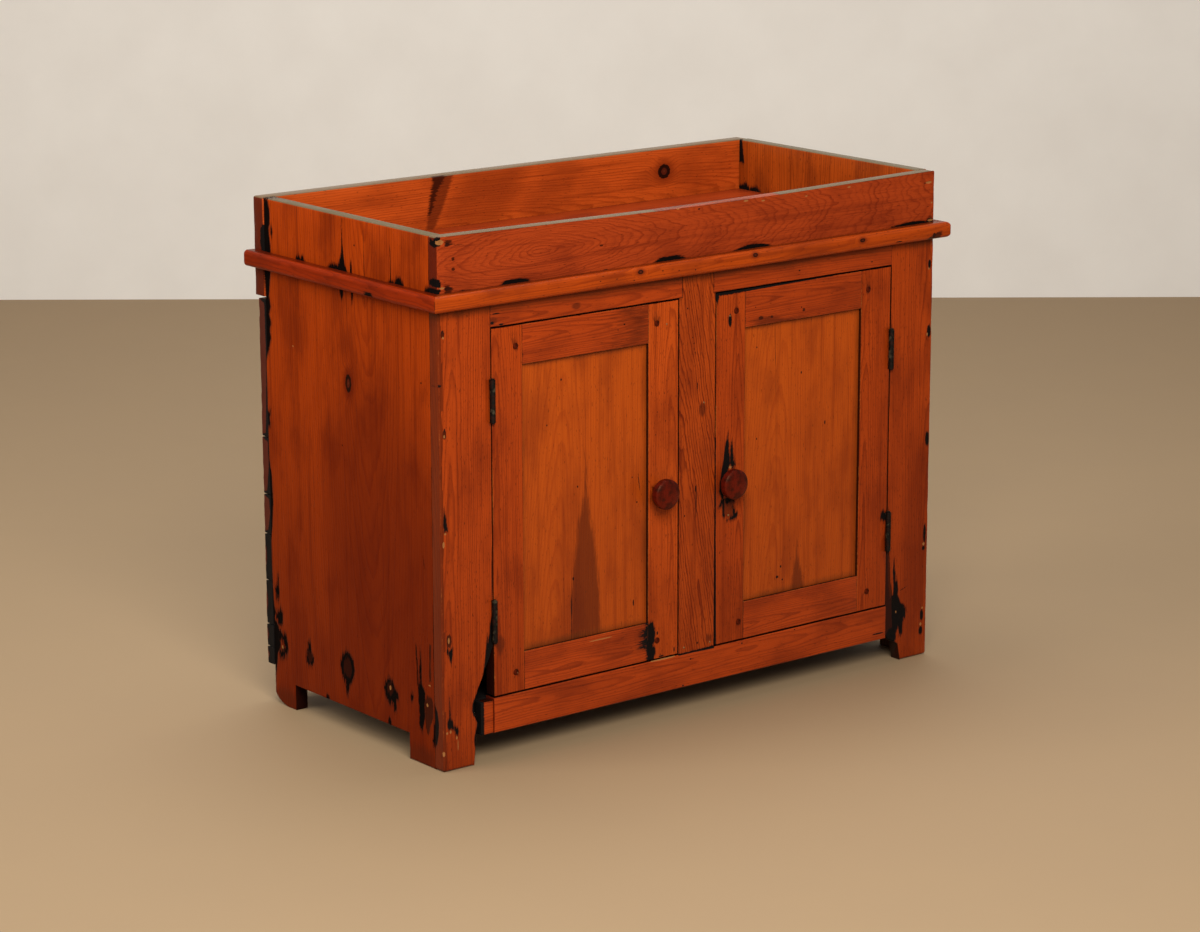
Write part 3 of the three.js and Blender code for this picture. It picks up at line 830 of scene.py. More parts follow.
@dataclass
class Board:
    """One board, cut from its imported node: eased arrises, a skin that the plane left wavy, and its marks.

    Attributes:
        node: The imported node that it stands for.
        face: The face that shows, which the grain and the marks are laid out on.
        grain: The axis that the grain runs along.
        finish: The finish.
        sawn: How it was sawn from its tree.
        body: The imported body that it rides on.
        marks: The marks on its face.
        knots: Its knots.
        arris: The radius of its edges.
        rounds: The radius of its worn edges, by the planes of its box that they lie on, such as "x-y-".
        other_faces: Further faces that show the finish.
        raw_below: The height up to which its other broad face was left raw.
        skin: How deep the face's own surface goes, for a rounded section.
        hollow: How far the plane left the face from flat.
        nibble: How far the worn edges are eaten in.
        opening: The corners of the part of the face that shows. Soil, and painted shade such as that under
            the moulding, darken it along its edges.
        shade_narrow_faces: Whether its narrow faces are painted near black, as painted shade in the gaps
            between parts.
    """

    node: str
    face: Face
    grain: Axis
    finish: ShellackedPine
    sawn: Sawn = Sawn()
    body: str = "case"
    marks: tuple[Patch, ...] = ()
    knots: tuple[Knot, ...] = ()
    arris: float = 0.5
    rounds: dict[str, float] = field(default_factory=dict)
    other_faces: tuple[Face, ...] = ()
    raw_below: float = math.inf
    skin: float = 3.5
    hollow: float = 0.2
    nibble: float = 0.5
    opening: tuple[Point, Point] | None = None
    shade_narrow_faces: bool = False

    @property
    def across_grain(self) -> int:
        """The axis in the face that the grain doesn't run along."""
        return self.face.across + self.face.up - self.grain.value

    def level(self, face: Face) -> float:
        """Where one of the board's faces lies along its own axis."""
        axis, sign = face.value
        return case_box(self.node)[0 if sign < 0 else 1][axis]

    def depths(self, places: np.ndarray, face: Face) -> np.ndarray:
        """How far places lie behind one of the board's faces."""
        axis, sign = face.value
        return (self.level(face) - places[:, axis]) * sign

    def skin_of(self, form: bmesh.types.BMesh, face: Face) -> list[Facet]:
        """Finds the part of the mesh that makes one of the board's faces, with its rounded edges.

        Args:
            form: The mesh.
            face: Which of the board's faces it is.

        Returns:
            The faces of the mesh.
        """
        axis, sign = face.value
        level = self.level(face)
        return [
            f
            for f in form.faces
            if f.normal[axis] * sign > 0.2 and all(abs(v.co[axis] - level) < self.skin for v in f.verts)
        ]

    def slice(
        self, form: bmesh.types.BMesh, faces: list[Facet], axis: int, places: np.ndarray
    ) -> list[Facet]:
        """Cuts faces at right angles to an axis.

        Args:
            form: The mesh.
            faces: The faces to cut.
            axis: The number of the axis.
            places: Where to cut, along the axis.

        Returns:
            The faces and what they were cut into.
        """
        geometry = [*faces, *{e for f in faces for e in f.edges}, *{v for f in faces for v in f.verts}]
        normal = [0.0, 0.0, 0.0]
        normal[axis] = 1.0
        for place in places:
            point = [0.0, 0.0, 0.0]
            point[axis] = place
            geometry = bmesh.ops.bisect_plane(
                form, geom=geometry, dist=0.001, plane_co=point, plane_no=normal
            )["geom"]
        return [g for g in geometry if isinstance(g, Facet)]

    def cut_skin(self, form: bmesh.types.BMesh, face: Face) -> None:
        """Cuts one face into a grid, with a finer one over each mark.

        Args:
            form: The mesh.
            face: Which of the board's faces to cut.
        """
        low, high = case_box(self.node)
        axes = (face.across, face.up)
        hold = self.arris + 1.5
        long_cell, short_cell = 30.0, 12.0
        steps = (0, 4, 16)
        faces = self.skin_of(form, face)
        lines = []
        for i, axis in enumerate(axes):
            cell = long_cell if axis == self.grain.value else short_cell
            count = max(2, round((high[axis] - low[axis]) / cell))
            lines.append(list(np.linspace(low[axis] + hold, high[axis] - hold, count)))
            if self.opening and face is self.face:
                least, most = self.opening[0][i], self.opening[1][i]
                lines[i] = sorted([*lines[i], *(least + d for d in steps), *(most - d for d in steps)])
            faces = self.slice(form, faces, axis, lines[i])
        cells: dict[tuple[int, int], list[Facet]] = {}
        self.sort_faces(cells, faces, axes, lines)
        for mark in self.marks:
            if (mark.face or self.face) is not face:
                continue
            outline = np.array(mark.outline)
            least, most = outline.min(axis=0) - mark.fine, outline.max(axis=0) + mark.fine
            first = [bisect(lines[i], least[i]) for i in (0, 1)]
            last = [bisect(lines[i], most[i]) for i in (0, 1)]
            close = [
                f for i in range(first[0], last[0] + 1) for j in range(first[1], last[1] + 1)
                for f in cells.pop((i, j), [])
            ]
            for i, axis in enumerate(axes):
                cuts = np.arange(least[i], most[i] + mark.fine / 2, mark.fine)
                within = (cuts > low[axis] + 0.2) & (cuts < high[axis] - 0.2)
                close = self.slice(form, close, axis, cuts[within])
            self.sort_faces(cells, close, axes, lines)

    def sort_faces(
        self, cells: dict, faces: list[Facet], axes: tuple[int, int], lines: list
    ) -> None:
        """Sorts faces into the cells of the grid.

        Args:
            cells: The faces in each cell, by its place in the grid.
            faces: The faces to sort.
            axes: The axes of the grid.
            lines: Its lines along each axis.
        """
        for face in faces:
            middle = face.calc_center_median()
            cell = tuple(bisect(lines[i], middle[axis]) for i, axis in enumerate(axes))
            cells.setdefault(cell, []).append(face)

    def wear(self, places: np.ndarray, reach: np.ndarray) -> tuple[np.ndarray, dict[str, np.ndarray]]:
        """Wears the board's skins.

        Args:
            places: The mesh's vertices in case millimetres.
            reach: How far each vertex is from the nearest worn edge.

        Returns:
            The vertices moved, and the distance inside the marks of each kind.
        """
        plane_wave, nibble_wave = 70, 17
        fields = {kind: np.full(len(places), FAR_OUTSIDE) for kind in Kind}
        moved = places.copy()
        for face in (self.face, *self.other_faces):
            axis, sign = face.value
            low, high = case_box(self.node)
            thickness = high[axis] - low[axis]
            flat = places[:, [face.across, face.up]]
            sides = (face.across, face.up)
            squeeze = np.array([GRAIN_SQUEEZE if side == self.grain.value else 1.0 for side in sides])
            depth = self.depths(places, face)
            hold = 1 - smooth(depth, min(2.0, thickness / 3), thickness * 0.7)
            sunk = self.hollow * undulate(flat, plane_wave, self.sawn.seed)
            gone = np.clip(undulate(flat, nibble_wave, self.sawn.seed + 3) - 0.45, 0, 1) * 2
            sunk += self.nibble * gone * (1 - smooth(reach, 0, 3.0))
            for mark in self.marks:
                if (mark.face or self.face) is not face:
                    continue
                outline = tuple(np.array(mark.outline) * squeeze)
                inside = distance_inside(flat * squeeze, outline) / mark.ragged
                sunk += mark.sunk * smooth(inside, -0.5, 1.0)
                through = thickness - 0.5 if mark.kind is Kind.CHAR and face is self.face else 6.0
                before = fields[mark.kind]
                fields[mark.kind] = np.where(depth < through, np.maximum(before, inside), before)
            moved[:, axis] -= sign * sunk * hold
        return moved, fields

    def soil(self, places: np.ndarray) -> np.ndarray:
        """Measures how far places are from the edges of the part that shows, where soil and painted shade
        darken it.

        Args:
            places: The mesh's vertices in case millimetres.

        Returns:
            The distance for each vertex.
        """
        if not self.opening:
            return np.full(len(places), FAR_AWAY)
        flat = places[:, [self.face.across, self.face.up]]
        least, most = np.array(self.opening[0]), np.array(self.opening[1])
        return np.minimum(flat - least, most - flat).min(axis=1)

    def build(self) -> None:
        """Builds the board, dresses it and hangs it on its body."""
        mesh, worn, plain = eased_copy(self.node, self.arris, self.rounds)
        form = bmesh.new()
        form.from_mesh(mesh)
        form.normal_update()
        if 0 < self.raw_below < math.inf:
            whole = [*form.verts, *form.edges, *form.faces]
            level = (0, 0, self.raw_below)
            bmesh.ops.bisect_plane(form, geom=whole, dist=0.001, plane_co=level, plane_no=(0, 0, 1))
        for face in (self.face, *self.other_faces):
            self.cut_skin(form, face)
        form.normal_update()
        axis, sign = self.face.value
        ends = [abs(f.normal[self.grain.value]) > 0.8 for f in form.faces]
        raw = [f.normal[axis] * sign < -0.5 and f.calc_center_median().z < self.raw_below for f in form.faces]
        rim = [f.normal.z > 0.7 and f.calc_center_median().z > RIM_FROM for f in form.faces]
        shown = [face.value for face in (self.face, *self.other_faces)]
        # Narrow faces, which are painted near black as shade
        narrow = [
            self.shade_narrow_faces and abs(f.normal[axis]) < 0.5 and all(f.normal[a] * way < 0.5 for a, way in shown)
            for f in form.faces
        ]
        form.verts.ensure_lookup_table()
        places = np.array([v.co for v in form.verts])
        form.to_mesh(mesh)
        form.free()

        reach = distance_to(places, worn)
        moved, fields = self.wear(places, reach)
        mesh.vertices.foreach_set("co", moved.ravel())
        finish_mesh(mesh)
        point_fields = {kind.value: values for kind, values in fields.items()} | {
            "edge": reach,
            "joint": distance_to(places, plain),
            "soil": self.soil(places),
        }
        for name, values in point_fields.items():
            mesh.attributes.new(name, "FLOAT", "POINT").data.foreach_set("value", values.astype(np.float32))
        for name, values in (("end", ends), ("raw", raw), ("rim", rim), ("narrow", narrow)):
            mesh.attributes.new(name, "FLOAT", "FACE").data.foreach_set("value", np.array(values, np.float32))
        mesh.materials.append(self.finish.dress(self.node, self))
        hang(new_object(self.node + "_board", mesh), self.body, self.finish.slot, self.node)


SIDE = ShellackedPine(
    "shellacked_side_pine", "side_pine", "#ab3f09", "#7f2606", "#571303",
    foot=0.7, contrast=0.55, specks=0.4, gloss=0.04,
)
FRAME = ShellackedPine(
    "shellacked_frame_pine", "frame_pine", "#ac4110", "#7e2a0a", "#601a06",
    foot=0.25, contrast=0.85, specks=0.8, gloss=0.14,
)
CENTRE = replace(FRAME, name="shellacked_centre_pine", early="#b04612", late="#6a2007", contrast=1.0)
MEETING = replace(FRAME, name="shellacked_meeting_pine", early="#bc4c14", late="#8c320c", deep="#702206")
RAIL = ShellackedPine("shellacked_rail_pine", "rail_pine", "#a93e10", "#7c280a", "#5d1906")
PANEL = ShellackedPine(
    "shellacked_panel_pine", "panel_pine", "#b64e11", "#95370b", "#762708", foot=0.25, contrast=0.5
)
WELL = ShellackedPine(
    "shellacked_well_pine", "well_pine", "#a43e17", "#75240c", "#5c180a", contrast=0.62, gloss=0.08
)
WELL_FLOOR = replace(WELL, name="shellacked_well_floor_pine", early="#983813", late="#6a200a")
WELL_BACK = ShellackedPine(
    "shellacked_well_back_pine", "well_pine", "#bf5019", "#96380e", "#76280a",
    contrast=0.8, gloss=0.12, end="#4f160a",
)
RIGHT_SIDE = ShellackedPine(
    "shellacked_right_side_pine", "side_pine", "#9e430f", "#752c08", "#581e06", foot=0.5, gloss=0.1
)
MOULDING = ShellackedPine("shellacked_moulding_pine", "moulding_pine", "#b0440b", "#8a2f07", "#6c2206")
MOULDING_SIDE = ShellackedPine(
    "shellacked_moulding_side_pine", "moulding_pine", "#8f2905", "#701d04", "#581503", gloss=0.08
)
INSIDE = ShellackedPine(
    "unfinished_pine", "inside_pine", "#8a5c36", "#6d4425", "#4c2e19", contrast=0.5, roughness=0.7, gloss=0.2
)
BACK = ShellackedPine(
    "weathered_back_pine", "back_pine", "#7a5234", "#5d3a22", "#3a2415",
    contrast=0.6, roughness=0.75, gloss=0.2, end="#4f160a",
)
KNOB_WOOD = TurnedMaple("turned_knob_maple", "knob_wood", "#5c1207", "#280805")
PEG_WOOD = TurnedMaple("cut_peg_maple", "peg_wood", "#5e1c0b", "#2c0d06", roughness=0.5, gloss=0.06)


def several(
    kind: Kind, sunk: float, fine: float, *outlines: Outline, ragged: float = 1.2, face: Face | None = None
) -> tuple[Patch, ...]:
    """Marks of one kind, depth, cut and raggedness, one for each outline."""
    return tuple(Patch(kind, outline, sunk, fine, ragged, face) for outline in outlines)


def spots(kind: Kind, *ovals: tuple[float, float, float, float]) -> tuple[Patch, ...]:
    """Small oval marks: place across and up, half width and half height."""
    return tuple(spot(kind, *shape) for shape in ovals)


def splits(*shapes: tuple[float, float, float, float, float]) -> tuple[Patch, ...]:
    """Splits up the grain: place across, lower end, upper end, width and lean."""
    return tuple(split(*shape) for shape in shapes)


# The marks on the left side board, across from the front and up from the floor
SIDE_ROT = (
    ((440, 802), (437, 792), (434, 780), (434, 764), (438, 752), (436, 735), (433, 712), (436, 690),
     (438, 668), (441, 648), (437, 634), (442, 622), (436, 608), (441, 596), (438, 584), (443, 572),
     (446, 563), (451, 552), (454, 546), (475, 546), (475, 802)),
    ((454, 398), (450, 386), (447, 368), (444, 348), (444, 326), (446, 304), (448, 284), (451, 268),
     (454, 262), (475, 262), (475, 398)),
    ((475, 262), (452, 262), (451, 216), (449, 160), (444, 148), (447, 136), (438, 129), (434, 118),
     (437, 108), (431, 100), (434, 90), (441, 80), (443, 66), (447, 50), (449, 24), (450, -2), (475, -2)),
)
SIDE_ROT_SPOTS = (
    ((444, 468), (447, 458), (445, 447), (452, 443), (456, 458), (453, 466)),
    ((432, 210), (434, 199), (432, 182), (434, 169), (441, 173), (443, 186), (438, 196), (436, 206)),
    ((424, 150), (428, 157), (434, 152), (443, 149), (443, 138), (435, 132), (428, 128), (424, 136)),
    ((419, 122), (424, 114), (430, 122), (436, 118), (436, 100), (430, 104), (424, 104), (420, 96),
     (424, 88), (436, 84), (433, 76), (424, 79), (414, 84), (410, 96), (413, 108)),
    ((430, 760), (427, 750), (429, 740), (432, 750)),
)
SIDE_DARK_AT_MOULDING = (
    ((366, 713), (363, 721), (357, 724), (350, 722), (344, 725), (342, 718), (333, 714)),
    ((224, 713), (231, 722), (236, 735), (238, 752), (239, 794), (240.5, 765), (242, 745), (247, 730),
     (253, 724), (265, 725), (275, 721), (284, 713)),
    ((214.5, 713), (215.5, 727), (217.5, 738), (219.5, 727), (220, 713)),
    ((128, 713), (119, 720), (107, 720), (102, 727), (92, 728), (86, 722), (81, 713)),
    ((35, 713), (28, 723), (19, 725), (19, 713)),
    ((249, 693), (248, 684), (243, 672), (239, 684), (239, 693)),
    ((219, 693), (218.5, 684), (216.5, 670), (214, 684), (213.5, 693)),
)
SIDE_SPLITS = (
    ((56, 180), (54, 150), (54, 124), (45, 112), (47, 92), (46, 76), (50, 62), (54, 50), (60, 60),
     (61.5, 82), (62, 108), (59, 130), (58, 150)),
    ((66, 180), (63.5, 160), (63, 136), (61, 112), (63, 108), (65, 136), (66, 158)),
    ((19, 104), (19, 50), (24, 34), (28, 42), (24, 56), (22, 80)),
    ((75, 100), (77, 104), (81, 102), (82, 96), (78, 91)),
)
SIDE_SCORCHES = (
    ((24, 98), (28, 110), (38, 110), (46, 102), (46, 76), (44, 58), (38, 50), (33, 62), (26, 78)),
    ((28, 190), (30, 160), (29, 134), (33, 134), (34, 160), (33, 190)),
    ((19, 230), (19, 40), (22, 40), (22, 230)),
)
# Black wood round three fallen knots, drawn out up and down the grain
SIDE_DEAD_KNOTS = (
    ((348, 124), (346, 112), (345, 104), (339, 97), (339, 89), (345, 84), (351, 84), (359, 86), (361, 94),
     (359, 101), (355, 108), (355, 120)),
    ((247, 130), (238, 126), (231, 116), (228, 104), (231, 92), (239, 82), (243, 74), (247, 58), (250, 60),
     (252, 76), (259, 84), (265, 96), (265, 110), (260, 121)),
    ((137, 113), (128, 110), (122, 100), (114, 94), (114, 87), (120, 83), (119, 70), (121, 63), (126, 66),
     (127, 76), (137, 74), (144, 80), (149, 90), (151, 98), (146, 108)),
)
# Broad darker cloud over the middle and foot of the side
SIDE_CLOUD = (
    (110, 640), (190, 650), (245, 600), (290, 520), (320, 420), (318, 300), (290, 200), (330, 60), (20, 20),
    (-24, 60), (-30, 300), (-10, 470), (60, 560),
)


@dataclass
class Case:
    """The carcase: two side boards, the cupboard floor and the boards nailed on the back.

    Attributes:
        rim_round: The radius of the sides' worn top edges.
        corner_round: The radius of the back corners.
        sole_round: The radius of the feet's worn lower edges.
        well_level: The height inside the well floor, where the sides' raw inner faces end.
        back_seeds: A number for each back board's grain.
        rotten_boards: How many of the back boards, from the lowest up, have rotted at their ends.
    """

    rim_round: float = 2.2
    corner_round: float = 1.2
    sole_round: float = 3.4
    well_level: float = 706.0
    back_seeds: tuple[int, ...] = (3, 8, 14, 21, 27, 35, 41)
    rotten_boards: int = 4

    def left_side(self) -> Board:
        """The side that shows most: eaten by rot at the back, split at the foot, and streaked dark along its
        moulding.
        """
        return Board(
            "side_board_left", Face.LEFT, Axis.Z, SIDE,
            Sawn(aside=-60, behind=60, ring=5.0, lean=0.02, dip=-0.09, wave=4, seed=4),
            marks=(
                *several(Kind.CHAR, 2.0, 4.0, *SIDE_ROT, ragged=2.6),
                *several(Kind.CHAR, 1.2, 2.2, *SIDE_ROT_SPOTS, ragged=2.2),
                *several(Kind.CHAR, 0.3, 1.6, *SIDE_DARK_AT_MOULDING),
                *several(Kind.CHAR, 1.2, 1.6, *SIDE_SPLITS, ragged=1.6),
                *several(Kind.SCORCH, 0.4, 2.0, *SIDE_SCORCHES, ragged=1.6),
                *several(Kind.CHAR, 0.6, 1.8, *SIDE_DEAD_KNOTS, ragged=1.8),
                *splits((183, 650, 799, 1.7, 2), (116, 640, 799, 1.9, 1), (42, 293, 325, 1.2, 2)),
                *spots(Kind.CHAR, (302, 43, 5, 5), (137, 44, 4, 8), (44, 581, 1.6, 1.2),
                       (249.5, 451, 1.3, 1.2)),
                *spots(Kind.SCORCH, (247, 103, 11, 16), (350, 97, 7, 9), (135, 97, 8, 10), (425, 92, 4, 5),
                       (208, 760, 2, 1.6)),
                *spots(Kind.BARE, (426, 95, 2.2, 3.4), (377, 582, 2.0, 1.4), (135.5, 99, 2.6, 4),
                       (40, 95, 2.6, 3), (33, 127, 3, 1.4)),
                *spots(Kind.STAIN, (60, 12, 44, 16), (415, 12, 40, 18)),
                Patch(Kind.TONE, SIDE_CLOUD, 0.0, 40.0, 34.0),
            ),
            knots=(Knot(230, 549, 7, 13),),
            rounds=self.side_rounds("x-"),
            raw_below=self.well_level,
            nibble=0.8,
            shade_narrow_faces=True,
        )

    def right_side(self) -> Board:
        """The other side, whose inner face shows in the well."""
        return Board(
            "side_board_right", Face.RIGHT, Axis.Z, RIGHT_SIDE,
            Sawn(aside=80, behind=70, ring=5.2, lean=-0.03, dip=-0.08, wave=4, seed=9),
            marks=(
                *spots(Kind.STAIN, (60, 24, 44, 34), (410, 22, 42, 34)),
                *spots(Kind.CHAR, (430, 80, 8, 22), (438, 690, 6, 16), (300, 43, 5, 3)),
                *splits((90, 610, 799, 1.2, 2), (40, 60, 170, 3.0, 3)),
                *several(
                    Kind.CHAR, 0.5, 2.0, ((439, 762), (445, 803), (453, 803), (453, 762)),
                    ((455, 707), (455, 719), (433, 728), (424, 719), (408, 725), (394, 717)), face=Face.LEFT,
                ),
            ),
            knots=(Knot(150, 360, 10, 14), Knot(330, 560, 8, 12)),
            rounds=self.side_rounds("x+"),
            other_faces=(Face.LEFT,),
            raw_below=self.well_level,
            nibble=0.8,
            shade_narrow_faces=True,
        )

    def side_rounds(self, outside: str) -> dict[str, float]:
        """The worn edges of a side board.

        Args:
            outside: The plane of its box that its outer face is on, "x-" or "x+".

        Returns:
            The edges' radii, by the planes that they lie on.
        """
        inside = "x+" if outside == "x-" else "x-"
        return {
            outside + "z+": self.rim_round,
            inside + "z+": self.rim_round,
            outside + "y+": self.corner_round,
            outside + "z-": self.sole_round,
        }

    def back_boards(self) -> list[Board]:
        """The back boards, each with its own grain, their ends worn round."""
        return [
            Board(
                f"back_board_{i + 1}",
                Face.BACK,
                Axis.X,
                BACK,
                Sawn(aside=12 - 9 * (i % 3), behind=30 + 6 * i, ring=3.6, lean=0.01, dip=0.03, seed=seed),
                marks=self.back_marks(i),
                other_faces=(Face.LEFT,),
                rounds={"x-y+": 1.5, "x+y+": 1.5, "y+z+": 1.0, "y+z-": 1.0},
                hollow=0.5,
                nibble=1.2,
            )
            for i, seed in enumerate(self.back_seeds)
        ]

    def back_marks(self, index: int) -> tuple[Patch, ...]:
        """Damp, a split and a rotten end for a back board.

        Args:
            index: How many back boards are below it.

        Returns:
            The marks.
        """
        low, high = case_box(f"back_board_{index + 1}")
        middle = (low[2] + high[2]) / 2
        across = 130 + 389 * index % 620
        reach = (high[2] - low[2]) / 3
        damp = oval(across, middle, 90, reach)
        crack = (
            (across + 300, middle), (across + 420, middle + 1.2),
            (across + 520, middle), (across + 410, middle - 1),
        )
        under, over = low[2] - 2, high[2] + 2
        rot = (
            (450, under), (472, under), (468, low[2] + 3), (459, low[2] + 6), (453, middle),
            (454, high[2] - 6), (462, high[2] - 3), (472, over), (450, over),
        )
        if index < self.rotten_boards:
            rot = ((450, under), (472, under), (465, middle), (470, over), (450, over))
        return (
            Patch(Kind.TONE, damp, 0.0, 12.0, 16.0),
            Patch(Kind.CHAR, crack, 1.0, 2.2, 0.4),
            Patch(Kind.CHAR, rot, 0.6, 3.0, 0.8, Face.LEFT),
        )

    def floors(self) -> list[Board]:
        """The two boards of the cupboard floor. Rot has reached the front one beside the left stile."""
        rot = (
            Patch(
                Kind.CHAR, ((10, 60), (112, 60), (104, 84), (108, 100), (10, 100)), 0.4, 3.0, face=Face.FRONT
            ),
            Patch(Kind.CHAR, ((10, 18), (160, 18), (158, 70), (140, 104), (10, 104)), 0.4, 6.0, 3.0),
        )
        return [
            Board(
                f"cupboard_floor_{name}", Face.TOP, Axis.X, INSIDE,
                Sawn(aside=20, behind=40, ring=4, seed=seed),
                marks=marks, other_faces=faces,
            )
            for name, seed, marks, faces in (("front", 51, rot, (Face.FRONT,)), ("back", 58, (), ()))
        ]

    def build(self) -> None:
        """Builds every board of the case."""
        for board in (self.left_side(), self.right_side(), *self.floors(), *self.back_boards()):
            board.build()


# Burns along the stiles and their pockets of rot, across from the left and up from the floor
LEFT_STILE_BURNS = (
    ((7, 404), (4.8, 379), (6, 367), (12, 367), (10.5, 379)),
    ((9, 188), (9, 183), (13, 176), (16, 162), (18.5, 178), (19.5, 188), (14, 184)),
    ((9, 80), (11.5, 82), (12.6, 112), (13.8, 80), (17, 75), (21, 66), (26, 63), (29, 58), (27, 55),
     (23, 55), (21, 62), (15, 66), (9, 66), (8, 73)),
    ((94, 224), (90, 222), (88, 212), (86, 196), (84, 186), (82.4, 199), (80.6, 184), (79, 165), (75, 142),
     (71, 124), (63, 112), (58, 103), (54, 95), (53, 86), (57, 76), (62, 66), (60, 54), (57, 44), (57, 30),
     (66, 30), (68, 50), (72, 62), (68, 76), (64, 88), (68, 104), (80, 122), (88, 150), (94, 190)),
)
LEFT_STILE_EDGE_BURNS = (((23, 108), (19, 98), (14, 88), (11, 72), (12, 56), (16, 42), (20, 34), (23, 34)),)
RIGHT_STILE_BURNS = (
    ((884, 200), (887, 186), (889, 160), (889.5, 130), (894, 106), (898, 113), (901, 112), (901.5, 130),
     (899.5, 152), (901.5, 174), (904, 144), (905, 126), (907.5, 144), (909.5, 132), (912, 112), (917, 98),
     (925, 92), (930, 84), (928, 72), (922, 64), (922, 46), (917, 41), (913, 58), (909, 50), (905, 28),
     (884, 28)),
)
RIGHT_STILE_SCORCHES = (((884, 252), (886, 200), (891, 188), (893, 150), (898, 112), (900, 60), (884, 48)),)
# The part of the frame that shows: below its top edge, under the moulding, soil and painted shade darken it
FRAME_SHOWN = ((-50.0, -50.0), (1025.0, 687.0))


